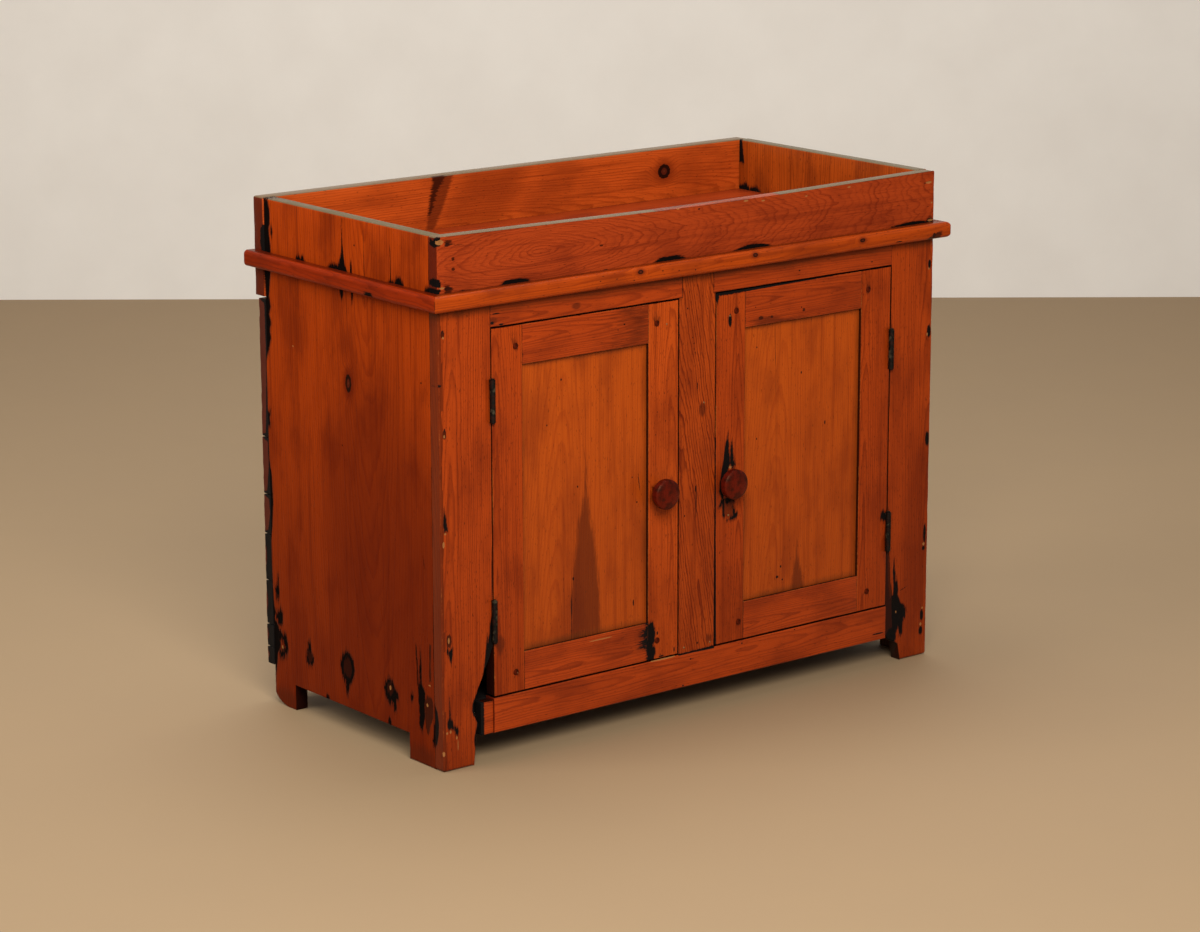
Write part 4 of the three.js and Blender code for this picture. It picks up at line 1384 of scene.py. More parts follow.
@dataclass
class FaceFrame:
    """The frame that the doors hang in: three stiles, two top rails and the bottom rail.

    Attributes:
        corner_round: The radius of the frame's outer corners.
        foot_round: The radius of the bottom rail's worn edge.
        sole_round: The radius of the feet's worn lower corners.
    """

    corner_round: float = 1.8
    foot_round: float = 1.6
    sole_round: float = 5.0

    def stiles(self) -> list[Board]:
        """The three stiles."""
        left = Board(
            "face_stile_left", Face.FRONT, Axis.Z, FRAME,
            Sawn(aside=-30, behind=22, ring=3.4, lean=0.03, dip=0.02, seed=12),
            marks=(
                *several(Kind.CHAR, 0.8, 1.4, *LEFT_STILE_BURNS),
                *several(Kind.CHAR, 0.8, 1.4, *LEFT_STILE_EDGE_BURNS, face=Face.LEFT),
                *spots(Kind.CHAR, (7.4, 662, 1.4, 2.4), (9.1, 517, 1.4, 2.4), (2, 583.5, 2.6, 2)),
                *spots(Kind.SCORCH, (12.6, 200, 4.6, 11), (9, 511, 3.4, 7), (8, 658, 3.2, 6)),
                *spots(Kind.BARE, (8.7, 653, 1.6, 2.2), (8.8, 508, 1.6, 2.6), (8.3, 363, 2.2, 2),
                       (5, 347, 2, 5), (12.4, 201, 1.8, 5), (7, 60, 2, 2.4), (13.5, 61, 1.6, 3),
                       (24.5, 50, 1.4, 3), (26.6, 38, 0.7, 9), (1, 28.8, 2.2, 4), (82, 103, 1.5, 2.4),
                       (63, 94, 2.2, 1.6), (87, 112, 0.9, 3)),
                *splits((92, 236, 330, 1.2, 0)),
                Patch(Kind.STAIN, ((-8, -10), (28, -10), (28, 712), (-8, 712)), 0.0, 20.0, 2.0, Face.LEFT),
            ),
            rounds={"x-y-": self.corner_round, "y-z-": self.sole_round, "x-z-": self.sole_round, "x+z-": 2.4},
            other_faces=(Face.LEFT,),
            nibble=1.0,
        )
        centre = Board(
            "face_stile_centre", Face.FRONT, Axis.Z, CENTRE,
            Sawn(aside=-26, behind=14, ring=4.6, lean=-0.16, dip=0.05, wave=5, curl=1.8, seed=17),
            marks=(
                *spots(Kind.CHAR, (484.5, 516.8, 0.9, 7), (483, 336, 0.9, 28), (481.6, 356.6, 0.9, 5),
                       (460, 317, 1.1, 1.2), (465, 640, 1.0, 1.2)),
                *spots(Kind.STAIN, (495, 480, 7, 11), (510, 113, 7, 6)),
                *spots(Kind.SCORCH, (486.6, 109.6, 1.8, 2)),
                Patch(
                    Kind.CHAR, ((448, 96), (448, 98.4), (484, 98.8), (521, 99.6), (521, 96)), 0.2, 1.5, 0.3
                ),
            ),
        )
        right = Board(
            "face_stile_right", Face.FRONT, Axis.Z, FRAME,
            Sawn(aside=40, behind=20, ring=3.3, lean=-0.02, dip=0.03, seed=23),
            marks=(
                *several(Kind.CHAR, 1.4, 1.6, *RIGHT_STILE_BURNS),
                *several(Kind.SCORCH, 0.4, 2.0, *RIGHT_STILE_SCORCHES),
                *spots(Kind.CHAR, (967.5, 650, 3, 7), (968.5, 541, 4, 10), (969.6, 363.7, 4.5, 12),
                       (968, 206, 2.8, 16), (966, 181, 3, 3), (965, 68, 3.5, 9), (963, 42, 4, 7)),
                *spots(Kind.BARE, (965, 536, 1.8, 3), (966, 188, 2.6, 3), (966, 643, 1.6, 2.4),
                       (908.5, 83, 1.2, 2.4), (966, 80, 2.2, 2), (963, 53, 2.6, 3)),
                Patch(
                    Kind.TONE, ((930, 400), (985, 420), (985, -10), (900, -10), (905, 220)), 0.0, 40.0, 20.0
                ),
                *splits((916, 118, 124, 1.2, 18)),
            ),
            rounds={"x+y-": self.corner_round, "y-z-": self.sole_round, "x+z-": self.sole_round},
            other_faces=(Face.RIGHT,),
            nibble=1.0,
        )
        return [left, centre, right]

    def rails(self) -> list[Board]:
        """The two top rails and the bottom rail."""
        top_left = Board(
            "top_rail_left", Face.FRONT, Axis.X, RAIL,
            Sawn(aside=-14, behind=16, ring=3.0, dip=0.03, seed=29),
            marks=(
                *spots(Kind.CHAR, (97, 664, 3, 2.2), (113, 660, 4, 1.4), (104, 677, 7, 0.9)),
                *spots(Kind.STAIN, (98, 667, 8, 5), (252, 670, 9, 5)),
            ),
        )
        top_right = Board(
            "top_rail_right", Face.FRONT, Axis.X, RAIL,
            Sawn(aside=12, behind=18, ring=3.0, dip=-0.02, seed=33),
            marks=spots(Kind.CHAR, (690, 672, 1.4, 1.2), (842, 668, 1.6, 1.1)),
        )
        bottom = Board(
            "bottom_rail", Face.FRONT, Axis.X, RAIL, Sawn(aside=10, behind=20, ring=3.1, dip=0.02, seed=38),
            marks=(
                Patch(
                    Kind.CHAR, ((449, 98), (449, 95.6), (484, 95.4), (521, 94.8), (521, 98)), 0.2, 1.5, 0.3
                ),
                *spots(Kind.CHAR, (473, 86, 1.4, 1.2), (458, 46, 1.6, 1.3), (578, 92, 1.5, 1.2),
                       (688, 94, 1.6, 1.0), (868, 54, 12, 1.2)),
                *spots(Kind.BARE, (418, 96.5, 26, 1.2)),
                Patch(Kind.CHAR, ((-2, 36), (24, 36), (24, 100), (-2, 100)), 0.3, 3.0, face=Face.LEFT),
            ),
            rounds={"y-z+": self.foot_round, "y-z-": self.foot_round},
            other_faces=(Face.LEFT,),
        )
        return [top_left, top_right, bottom]

    def build(self) -> None:
        """Builds the whole frame."""
        for board in (*self.stiles(), *self.rails()):
            board.opening, board.shade_narrow_faces = FRAME_SHOWN, True
            board.build()


# Painted shade where the well board's lower edge meets the moulding: black crescents for the gap between them
WELL_GAP_SHADE = (
    ((105, 713), (110, 718), (122, 723), (147, 724), (163, 721), (170, 714)),
    ((32, 713), (42, 719), (54, 718), (60, 714), (100, 715), (100, 712)),
    ((295, 713), (306, 718), (312, 717), (322, 713)),
    ((384, 713), (402, 719), (408, 723.5), (440, 724.5), (456, 721), (460, 714)),
    ((530, 713), (560, 719), (585, 724.5), (602, 724), (622, 721), (640, 714)),
    ((872, 713), (882, 719.5), (910, 722), (944, 722.5), (957, 721), (966, 727), (974, 718), (974, 713)),
)
WELL_CORNER_CHAR = (
    ((14, 794), (24, 794), (26, 788), (48, 784), (26, 785), (14, 784)),
    ((12, 730), (20, 728), (26, 722), (22, 714), (8, 714), (14, 722)),
    ((944, 781), (966, 785), (966, 782), (952, 780)),
)
WELL_END_CHAR = (
    ((-2, 800), (4, 800), (10, 794), (16, 797), (18, 788), (8, 784), (-2, 788)),
    ((-2, 738), (10, 740), (20, 735), (20, 730), (8, 727), (-2, 727)),
    ((-2, 724), (10, 725), (24, 724), (24, 712), (-2, 712)),
)
# The streak down the well's back board, and its darker core
WELL_STREAK = ((320, 808), (312, 763), (304, 712), (318, 712), (338, 750), (362, 808))
WELL_STREAK_CORE = ((320, 808), (316, 776), (308, 738), (313, 740), (327, 774), (350, 808))


@dataclass
class Well:
    """The open well on top: its front board, its raised back board and its floor.

    Attributes:
        rim_round: The radius of the worn top edges.
    """

    rim_round: float = 2.6

    def build(self) -> None:
        """Builds the boards of the well."""
        rims = {
            "y-z+": self.rim_round, "y+z+": self.rim_round,
            "x-y-": 2.4, "x+y-": 2.4, "x-z+": 3.5, "x+z+": 7.0,
        }
        front = Board(
            "well_front_board", Face.FRONT, Axis.X, WELL,
            Sawn(aside=6, behind=60, ring=3.4, dip=0.2, wave=6, curl=2.0, seed=44),
            marks=(
                # Painted shade of the gap above the moulding
                *several(Kind.CHAR, 0.5, 1.6, *WELL_GAP_SHADE),
                *several(Kind.SCORCH, 0.3, 1.4, *WELL_CORNER_CHAR),
                *spots(Kind.CHAR, (18, 788, 4, 2.4), (18, 724, 6, 2.4), (486.6, 789.6, 2.4, 1.1)),
                *spots(Kind.SCORCH, (28, 765.5, 3, 3.4), (28.5, 751.5, 3.4, 2.8), (299, 755, 4, 1.4)),
                *spots(Kind.BARE, (5, 792, 7, 4), (8, 725.5, 5, 1.8), (962, 782, 7, 2), (969, 749, 2, 1.6),
                       (967, 721, 6, 2.2), (579.5, 792.4, 5, 1.5), (614, 789, 4, 1.2), (445, 794, 3, 1.2),
                       (702, 787, 3, 1.1), (791, 792, 4, 1.3)),
                *several(Kind.CHAR, 0.4, 2.0, *WELL_END_CHAR, face=Face.LEFT),
            ),
            rounds=rims,
            raw_below=0.0,
            other_faces=(Face.BACK, Face.LEFT),
            nibble=1.3,
        )
        back = Board(
            "well_back_board", Face.FRONT, Axis.X, WELL_BACK,
            Sawn(aside=-8, behind=14, ring=3.8, dip=0.075, curl=1.0, seed=49),
            marks=(
                Patch(Kind.STAIN, WELL_STREAK, 0.0, 2.0, 1.0),
                Patch(Kind.SCORCH, WELL_STREAK_CORE, 0.0, 2.0, 1.4),
                Patch(Kind.TONE, ((326, 712), (348, 757), (372, 806), (520, 806), (470, 712)), 0.0, 8.0, 7.0),
                Patch(
                    Kind.CHAR,
                    ((450, 640), (453, 680), (456, 712), (461, 730), (459, 752), (454, 758), (450, 758)),
                    0.6, 3.0, face=Face.LEFT,
                ),
            ),
            knots=(Knot(790, 762, 11, 12),),
            rounds={**rims, "x-y+": 2.0, "x+y+": 2.0},
            other_faces=(Face.BACK, Face.LEFT),
            nibble=1.2,
        )
        floors = [
            Board(
                f"well_floor_{name}", Face.TOP, Axis.X, WELL_FLOOR,
                Sawn(aside=30, behind=30, ring=3.8, seed=seed),
            )
            for name, seed in (("front", 61), ("back", 66))
        ]
        for board in (front, back, *floors):
            board.build()


@dataclass
class Moulding:
    """The rounded strip below the rim, mitred at the corners.

    Attributes:
        skin: How deep its rounded section goes.
    """

    skin: float = 12.0

    def build(self) -> None:
        """Builds the three strips."""
        front_marks = (
            Patch(Kind.SCORCH, ((944, 690), (950, 698), (964, 704), (974, 706), (974, 690)), 0.3, 2.0),
            *spots(Kind.CHAR, (958, 700, 2.6, 4), (400.6, 708, 1.0, 1.0), (432, 704.6, 1.0, 1.0),
                   (464, 702, 1.1, 1.0), (313, 705.6, 1.0, 1.0), (345.6, 700, 1.2, 1.0),
                   (282, 706, 1.0, 1.0), (882, 698, 7, 0.9)),
        )
        knots = (Knot(358, 711, 3, 5), Knot(583, 711, 3, 4.5), Knot(804, 709, 3, 5))
        side_mark = several(Kind.CHAR, 0.4, 1.6, ((139, 695), (139, 701), (155, 701), (155, 696)))
        for node, face, grain, finish, marks, its_knots, seed in (
            ("moulding_front", Face.FRONT, Axis.X, MOULDING, front_marks, knots, 71),
            ("moulding_left", Face.LEFT, Axis.Y, MOULDING_SIDE, side_mark, (), 76),
            ("moulding_right", Face.RIGHT, Axis.Y, MOULDING_SIDE, (), (), 79),
        ):
            Board(
                node, face, grain, finish, Sawn(aside=5, behind=15, ring=2.6, dip=0.02, seed=seed),
                marks=marks, knots=its_knots, skin=self.skin, hollow=0.15, raw_below=0.0,
            ).build()


# The burns round the right knob, which take in a painted shadow of the knob, and at the foot of the left
# door, and the stains of the panels
LEFT_DOOR_BURN = (
    (385, 176), (388, 162), (391, 156), (395, 162), (398, 157), (401.5, 150), (402, 138), (400, 128),
    (398, 122), (402, 116), (403, 110), (400, 105), (400, 97), (384, 97), (387, 108), (384, 116),
    (384, 152), (385, 162),
)
LEFT_DOOR_ARM = ((376, 150), (392, 151), (392, 118), (373, 121), (378, 135))
LEFT_PANEL_STAIN = (
    (266, 366), (258, 338), (254, 300), (248, 260), (244, 216), (243, 156), (300, 156), (297, 240),
    (290, 300), (282, 340), (276, 380), (272, 440), (270, 380),
)
RIGHT_KNOB_CHAR_AND_SHADOW = (
    ((532, 366), (537, 388), (538, 392), (541, 413), (544, 424), (546.5, 438), (547.5, 422), (549.5, 404),
     (551, 388), (546, 372), (540, 340), (536, 330), (530, 345)),
    ((551, 386), (552, 408), (554.6, 423), (556.4, 408), (558, 394), (562, 382), (556, 376)),
    ((535.5, 332), (536, 306), (538.5, 298), (540.5, 304), (540, 332)),
    ((528, 318), (534, 321), (537, 326), (537, 332), (533, 330)),
    ((557, 318), (562, 312), (563, 306), (567, 305), (564, 296), (552, 295), (544, 296), (550, 299),
     (558, 302)),
    ((538, 332), (560, 332), (560, 322), (552, 325), (544, 323)),
)
RIGHT_DOOR_SCORCH = (((530, 321), (536, 322), (540, 302), (552, 297), (560, 302), (560, 330), (540, 330)),)
RIGHT_HINGE_CHAR = (
    (869, 245), (871, 256), (876, 260), (879, 254), (886, 256), (886, 240), (881, 243), (877, 238),
    (873, 245),
)
# Painted shade on the right door's front along its edges and upper left corner: the black of a gap wider than
# the built one, where it has shrunk away from its frame
RIGHT_DOOR_GAP_SHADE = (
    (519, 97), (524.6, 97), (524.2, 140), (523.4, 220), (522.8, 320), (522.3, 430), (519, 430),
)
RIGHT_DOOR_TOP_GAP_SHADE = ((519, 660), (519, 651.4), (580, 652.2), (680, 654), (760, 655), (760, 660))
RIGHT_CORNER_GAP_SHADE = ((520, 657), (530, 657), (527, 650), (524, 641), (520, 640))
RIGHT_RAIL_STAIN = ((594, 593), (600, 606), (620, 609), (640, 606), (668, 601), (694, 598), (694, 593))
RIGHT_PANEL_STAIN = ((695, 232), (690, 197), (684, 156), (712, 153), (708, 177), (701, 202))


class Hand(Enum):
    """Which door it is, as the viewer sees it."""

    LEFT = "left"
    RIGHT = "right"

    @property
    def body(self) -> str:
        """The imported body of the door."""
        return f"door_{self.value}"


@dataclass
class Door:
    """A frame-and-panel door with pegged joints and a turned knob.

    Attributes:
        hand: Which door it is.
        marks: The marks on its parts, by the part's name.
        seed: A number for its grain.
        edge_round: The radius of the outer edges.
        panel_round: The radius of the edges round the panel.
    """

    hand: Hand
    marks: dict[str, tuple[Patch, ...]]
    seed: int
    edge_round: float = 0.9
    panel_round: float = 0.7

    def node(self, part: str) -> str:
        """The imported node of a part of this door."""
        return f"{self.hand.body}_{part}"

    def opening(self) -> tuple[Point, Point]:
        """The corners of the panel's visible part."""
        boxes = (case_box(self.node(part)) for part in ("hinge_stile", "meeting_stile"))
        stiles = sorted(boxes, key=lambda box: box[0][0])
        low = case_box(self.node("bottom_rail"))[1][2]
        high = case_box(self.node("top_rail"))[0][2]
        return (stiles[0][1][0], low), (stiles[1][0][0], high)

    def boards(self) -> list[Board]:
        """The door's five boards."""
        worn = {"x-y-": self.edge_round, "x+y-": self.edge_round}
        meeting = MEETING if self.hand is Hand.LEFT else FRAME
        rail_worn = {"y-z+": self.panel_round, "y-z-": self.panel_round}
        parts = (
            ("hinge_stile", Axis.Z, FRAME, worn, Sawn(aside=-20, behind=16, ring=2.9, dip=0.02, seed=1)),
            ("meeting_stile", Axis.Z, meeting, worn, Sawn(aside=16, behind=15, ring=2.8, dip=0.03, seed=2)),
            ("top_rail", Axis.X, RAIL, rail_worn, Sawn(aside=9, behind=13, ring=2.8, dip=0.04, seed=3)),
            ("bottom_rail", Axis.X, RAIL, rail_worn, Sawn(aside=-9, behind=13, ring=2.8, dip=0.03, seed=4)),
            ("panel", Axis.Z, PANEL, {}, Sawn(aside=-50, behind=30, ring=4.2, lean=0.05, dip=0.07)),
        )
        return [
            Board(
                self.node(part), Face.FRONT, grain, finish, replace(sawn, seed=self.seed + sawn.seed),
                self.hand.body, self.marks.get(part, ()), rounds=rounds,
                opening=self.opening() if part == "panel" else None, shade_narrow_faces=part != "panel",
            )
            for part, grain, finish, rounds, sawn in parts
        ]

    def build(self) -> None:
        """Builds the boards, pegs and knob of the door."""
        for board in self.boards():
            board.build()
        for part in ("peg_top_hinge", "peg_bottom_hinge", "peg_top_meeting", "peg_bottom_meeting"):
            mesh, _, _ = eased_copy(self.node(part), 0.45, {}, 2)
            finish_mesh(mesh, 50)
            low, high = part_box(self.node(part))
            mesh.materials.append(PEG_WOOD.dress(self.node(part), (np.array(low) + np.array(high)) / 2))
            piece = new_object(self.node(part) + "_end", mesh)
            hang(piece, self.hand.body, PEG_WOOD.slot, self.node(part))
        Knob(self.node("knob"), self.hand.body, seed=self.seed).build()


@dataclass
class Knob:
    """A turned knob: a neck, a cone that opens out, a rounded rim and a low dome, bruised by use.

    Attributes:
        node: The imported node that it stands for.
        body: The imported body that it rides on.
        seed: A number for its bruises.
        neck: The neck's radius.
        neck_length: How far the neck stands out of the door.
        rim_back: How far the widest part stands out.
        rim_front: How far out the rim turns into the dome.
        tenon: The radius of its tenon.
        facets: The facets round it.
        bruise: How deep its bruises are.
    """

    node: str
    body: str
    seed: float
    neck: float = 9.5
    neck_length: float = 5.0
    rim_back: float = 16.0
    rim_front: float = 25.0
    tenon: float = 6.5
    facets: int = 72
    bruise: float = 0.35

    def profile(self, radius: float, reach: float, tail: float) -> list[Point]:
        """The turned outline, from the tenon's end to the middle of the dome.

        Args:
            radius: The widest radius.
            reach: How far the dome stands out of the door.
            tail: How far the tenon goes in.

        Returns:
            Its points, as radius and depth.
        """
        outline = [(0.0, tail), (self.tenon, tail), (self.tenon, -0.3), (self.neck, -0.3)]
        outline += [(self.neck - 0.3, -1.5), (self.neck - 0.2, -self.neck_length)]
        cone = 5
        for i in range(1, cone + 1):
            share = i / cone
            outline.append(
                (
                    self.neck + (radius - 1.6 - self.neck) * share**0.85,
                    -self.neck_length - (self.rim_back - self.neck_length - 1.2) * share,
                )
            )
        back, front = -self.rim_back, -self.rim_front
        outline += [(radius - 0.5, back), (radius, back - 1.6), (radius, front + 1.4)]
        dome = 10
        for i in range(dome + 1):
            angle = math.pi / 2 * i / dome
            outline.append((radius * math.cos(angle) ** 0.8 if i < dome else 0.0,
                            -self.rim_front - (reach - self.rim_front) * math.sin(angle)))
        return outline

    def build(self) -> None:
        """Turns the knob, dresses it and hangs it on its door."""
        low, high = case_box(self.node)
        centre = (low + high) / 2
        outline = self.profile((high[0] - low[0]) / 2, -low[1], high[1])
        form = bmesh.new()
        rings = []
        for radius, depth in outline:
            if radius == 0.0:
                rings.append([form.verts.new((centre[0], depth, centre[2]))])
                continue
            ring = []
            for i in range(self.facets):
                turn = math.tau * i / self.facets
                way = Vector((math.cos(turn), 0, math.sin(turn)))
                place = way * radius + Vector((0, depth, self.seed))
                dent = self.bruise * max(0.0, noise.noise(place / 6.0))
                ring.append(form.verts.new(Vector((centre[0], depth, centre[2])) + way * (radius - dent)))
            rings.append(ring)
        for start, end in zip(rings, rings[1:]):
            for i in range(self.facets):
                j = (i + 1) % self.facets
                corners = [start[i % len(start)], start[j % len(start)], end[j % len(end)], end[i % len(end)]]
                form.faces.new(list(dict.fromkeys(corners)))
        bmesh.ops.recalc_face_normals(form, faces=form.faces)
        mesh = bpy.data.meshes.new(self.node + "_turned")
        form.to_mesh(mesh)
        form.free()
        finish_mesh(mesh, 55)
        middle = (centre + CASE_CORNER) * MM
        mesh.materials.append(KNOB_WOOD.dress(self.node, middle))
        hang(new_object(self.node + "_turned", mesh), self.body, KNOB_WOOD.slot, self.node)


@dataclass
class Hinge:
    """A cast butt hinge: a leaf on the frame, a leaf on the door, and the pin.

    Attributes:
        hand: The door that it hangs.
        place: Whether it is the upper or the lower one.
        cast_round: The radius that the casting has at its edges.
    """

    hand: Hand
    place: str
    cast_round: float = 0.35

    def build(self, iron: Material) -> None:
        """Builds the three pieces.

        Args:
            iron: Their material.
        """
        bodies = {"frame_leaf": "case", "door_leaf": self.hand.body, "pin": self.pin_body()}
        for part, body in bodies.items():
            node = f"hinge_{part}_{self.hand.value}_{self.place}"
            mesh, _, _ = eased_copy(node, self.cast_round, {}, 2)
            finish_mesh(mesh, 35)
            mesh.materials.append(iron)
            hang(new_object(node + "_cast", mesh), body, "hinge_iron", node)

    def pin_body(self) -> str:
        """The body that the pin belongs to in the record."""
        bodies = frame["record"]["behaviour"]["bodies"]
        node = f"hinge_pin_{self.hand.value}_{self.place}"
        return next(name for name, nodes in bodies.items() if node in nodes)


class Head(Enum):
    """The head of a small fixing."""

    DOMED = "domed"
    SLOTTED = "slotted"


@dataclass
class Fixings:
    """Small heads or holes strewn over a body by geometry nodes.

    Attributes:
        name: The piece's name.
        body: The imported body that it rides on.
        slot: The record's material slot.
        material: The finish.
        places: Where they are, in case millimetres.
        facing: The way that they face.
        radius: Their radius.
        height: How far they stand out.
        spread: How much their sizes differ, as a share.
        head: The shape of the head.
        seed: The seed of their sizes and turns.
    """

    name: str
    body: str
    slot: str
    material: Material
    places: tuple[tuple[float, float, float], ...]
    facing: tuple[float, float, float]
    radius: float
    height: float
    spread: float = 0.2
    head: Head = Head.DOMED
    seed: int = 5

    def head_shape(self, tree: Tree) -> Socket:
        """Makes a head of radius 1 that stands up 1 from the origin.

        Args:
            tree: The node tree.

        Returns:
            The head's geometry.
        """
        if self.head is Head.DOMED:
            return put(tree, "GeometryNodeMeshUVSphere", {"Segments": 14, "Rings": 8, "Radius": 1.0})
        disc = put(tree, "GeometryNodeMeshCylinder", {"Vertices": 20, "Radius": 1.0, "Depth": 2.0})
        cutter = put(tree, "GeometryNodeMeshCube", {"Size": (2.4, 0.28, 1.0)})
        slot_cut = put(tree, "GeometryNodeTransform", {"Geometry": cutter, "Translation": (0.0, 0.0, 1.0)})
        return put(tree, "GeometryNodeMeshBoolean", (disc, slot_cut), operation="DIFFERENCE")

    def tree(self) -> tuple[Tree, dict[str, str]]:
        """Builds the node tree.

        Returns:
            The tree, and the identifier of each of its inputs by name.
        """
        tree = bpy.data.node_groups.new(self.name, "GeometryNodeTree")
        sockets = {
            "Places": "Geometry", "Facing": "Vector", "Radius": "Float", "Height": "Float", "Spread": "Float",
            "Seed": "Int", "Finish": "Material",
        }
        identifiers = {
            name: tree.interface.new_socket(name, in_out="INPUT", socket_type="NodeSocket" + kind).identifier
            for name, kind in sockets.items()
        }
        tree.interface.new_socket("Heads", in_out="OUTPUT", socket_type="NodeSocketGeometry")
        inlet = put(tree, "NodeGroupInput", out=None).outputs
        size = put(tree, "CombineXYZ", (inlet["Radius"], inlet["Radius"], inlet["Height"]))
        shape = put(tree, "GeometryNodeTransform", {"Geometry": self.head_shape(tree), "Scale": size})
        aligned = put(tree, "FunctionNodeAlignRotationToVector", {"Vector": inlet["Facing"]}, axis="Z")
        turn = put(
            tree, "FunctionNodeRandomValue", {2: 0.0, 3: math.tau, "Seed": inlet["Seed"]}, out=1,
            data_type="FLOAT",
        )
        spin = put(tree, "CombineXYZ", {2: turn})
        turned = put(
            tree, "FunctionNodeRotateRotation", {"Rotation": aligned, "Rotate By": spin},
            rotation_space="LOCAL",
        )
        least = put(tree, "Math", (1.0, inlet["Spread"]), operation="SUBTRACT")
        most = put(tree, "Math", (1.0, inlet["Spread"]), operation="ADD")
        scale = put(
            tree, "FunctionNodeRandomValue", {2: least, 3: most, "Seed": inlet["Seed"]}, out=1,
            data_type="FLOAT",
        )
        heads = put(
            tree,
            "GeometryNodeInstanceOnPoints",
            {"Points": inlet["Places"], "Instance": shape, "Rotation": turned, "Scale": scale},
        )
        real = put(tree, "GeometryNodeRealizeInstances", (heads,))
        dressed = put(tree, "GeometryNodeSetMaterial", {"Geometry": real, "Material": inlet["Finish"]})
        put(tree, "NodeGroupOutput", (dressed,), out=None)
        return tree, identifiers

    def build(self) -> None:
        """Strews the heads, and turns the result into a plain mesh."""
        seats = bpy.data.meshes.new(self.name + "_seats")
        seats.from_pydata([Vector(p) for p in self.places], [], [])
        rough = new_object(self.name + "_seats", seats)
        tree, inputs = self.tree()
        modifier = rough.modifiers.new("heads", "NODES")
        modifier.node_group = tree
        for name, value in (
            ("Facing", self.facing), ("Radius", self.radius),
            ("Height", self.height), ("Spread", self.spread),
            ("Seed", self.seed), ("Finish", self.material),
        ):
            modifier[inputs[name]] = value
        mesh = applied(rough)
        mesh.materials.clear()
        mesh.materials.append(self.material)
        finish_mesh(mesh)
        hang(new_object(self.name, mesh), self.body, self.slot)


def dark_hole() -> Material:
    """The inside of a worm hole, which no light reaches: dust and shadow, with no shine."""
    material, tree = new_material("worm_hole_dark")
    dark = {"Base Color": linear("#140806"), "Roughness": 0.95, "Specular IOR Level": 0.1}
    shader = put(tree, "BsdfPrincipled", dark)
    put(tree, "OutputMaterial", {"Surface": shader}, out=None)
    return material


def rubbed_nail() -> Material:
    """A cut nail's head, rubbed pale and scratched, with tarnish in the dips."""
    material, tree = new_material("rubbed_nail_head")
    # Scratches 0.6 mm apart, coarser than the real ones so that they show
    tarnish = put(tree, "TexNoise", {"Vector": millimetres(tree), "Scale": 1 / 0.6, "Detail": 3.0})
    share = put(tree, "MapRange", (tarnish, 0.4, 0.65))
    colour = put(tree, "Mix", {0: share, 6: linear("#9c7040"), 7: linear("#4c2c18")}, out=2, data_type="RGBA")
    shader = put(tree, "BsdfPrincipled", {"Base Color": colour, "Metallic": 0.3, "Roughness": 0.5})
    put(tree, "OutputMaterial", {"Surface": shader}, out=None)
    return material


# The way the front looks, and the nail heads and worm holes in it, across from the left and up from the floor
FORWARD = (0.0, -1.0, 0.0)
NAILS = {
    "case": ((498, 0, 489.5), (459.6, 0, 107), (511.8, 0, 106.4)),
    "door_left": ((423.9, 0, 621), (137.3, 0, 128.4)),
    "door_right": ((549, 0, 618), (548, 0, 304)),
}
WORM_HOLES = {
    "case": ((474.7, 0, 593.8), (477.4, 0, 584.6), (477.8, 0, 575.7), (479.7, 0, 569.5), (460, 0, 317)),
    "door_left": (
        (405.5, 0, 488), (422, 0, 472), (402, 0, 453), (342.6, 0, 631), (330, 0, 624), (406, 0, 141.6),
        (412, 0, 105),
    ),
    "door_right": ((628, 0, 607), (695, 0, 613.5), (600.5, 0, 625)),
}


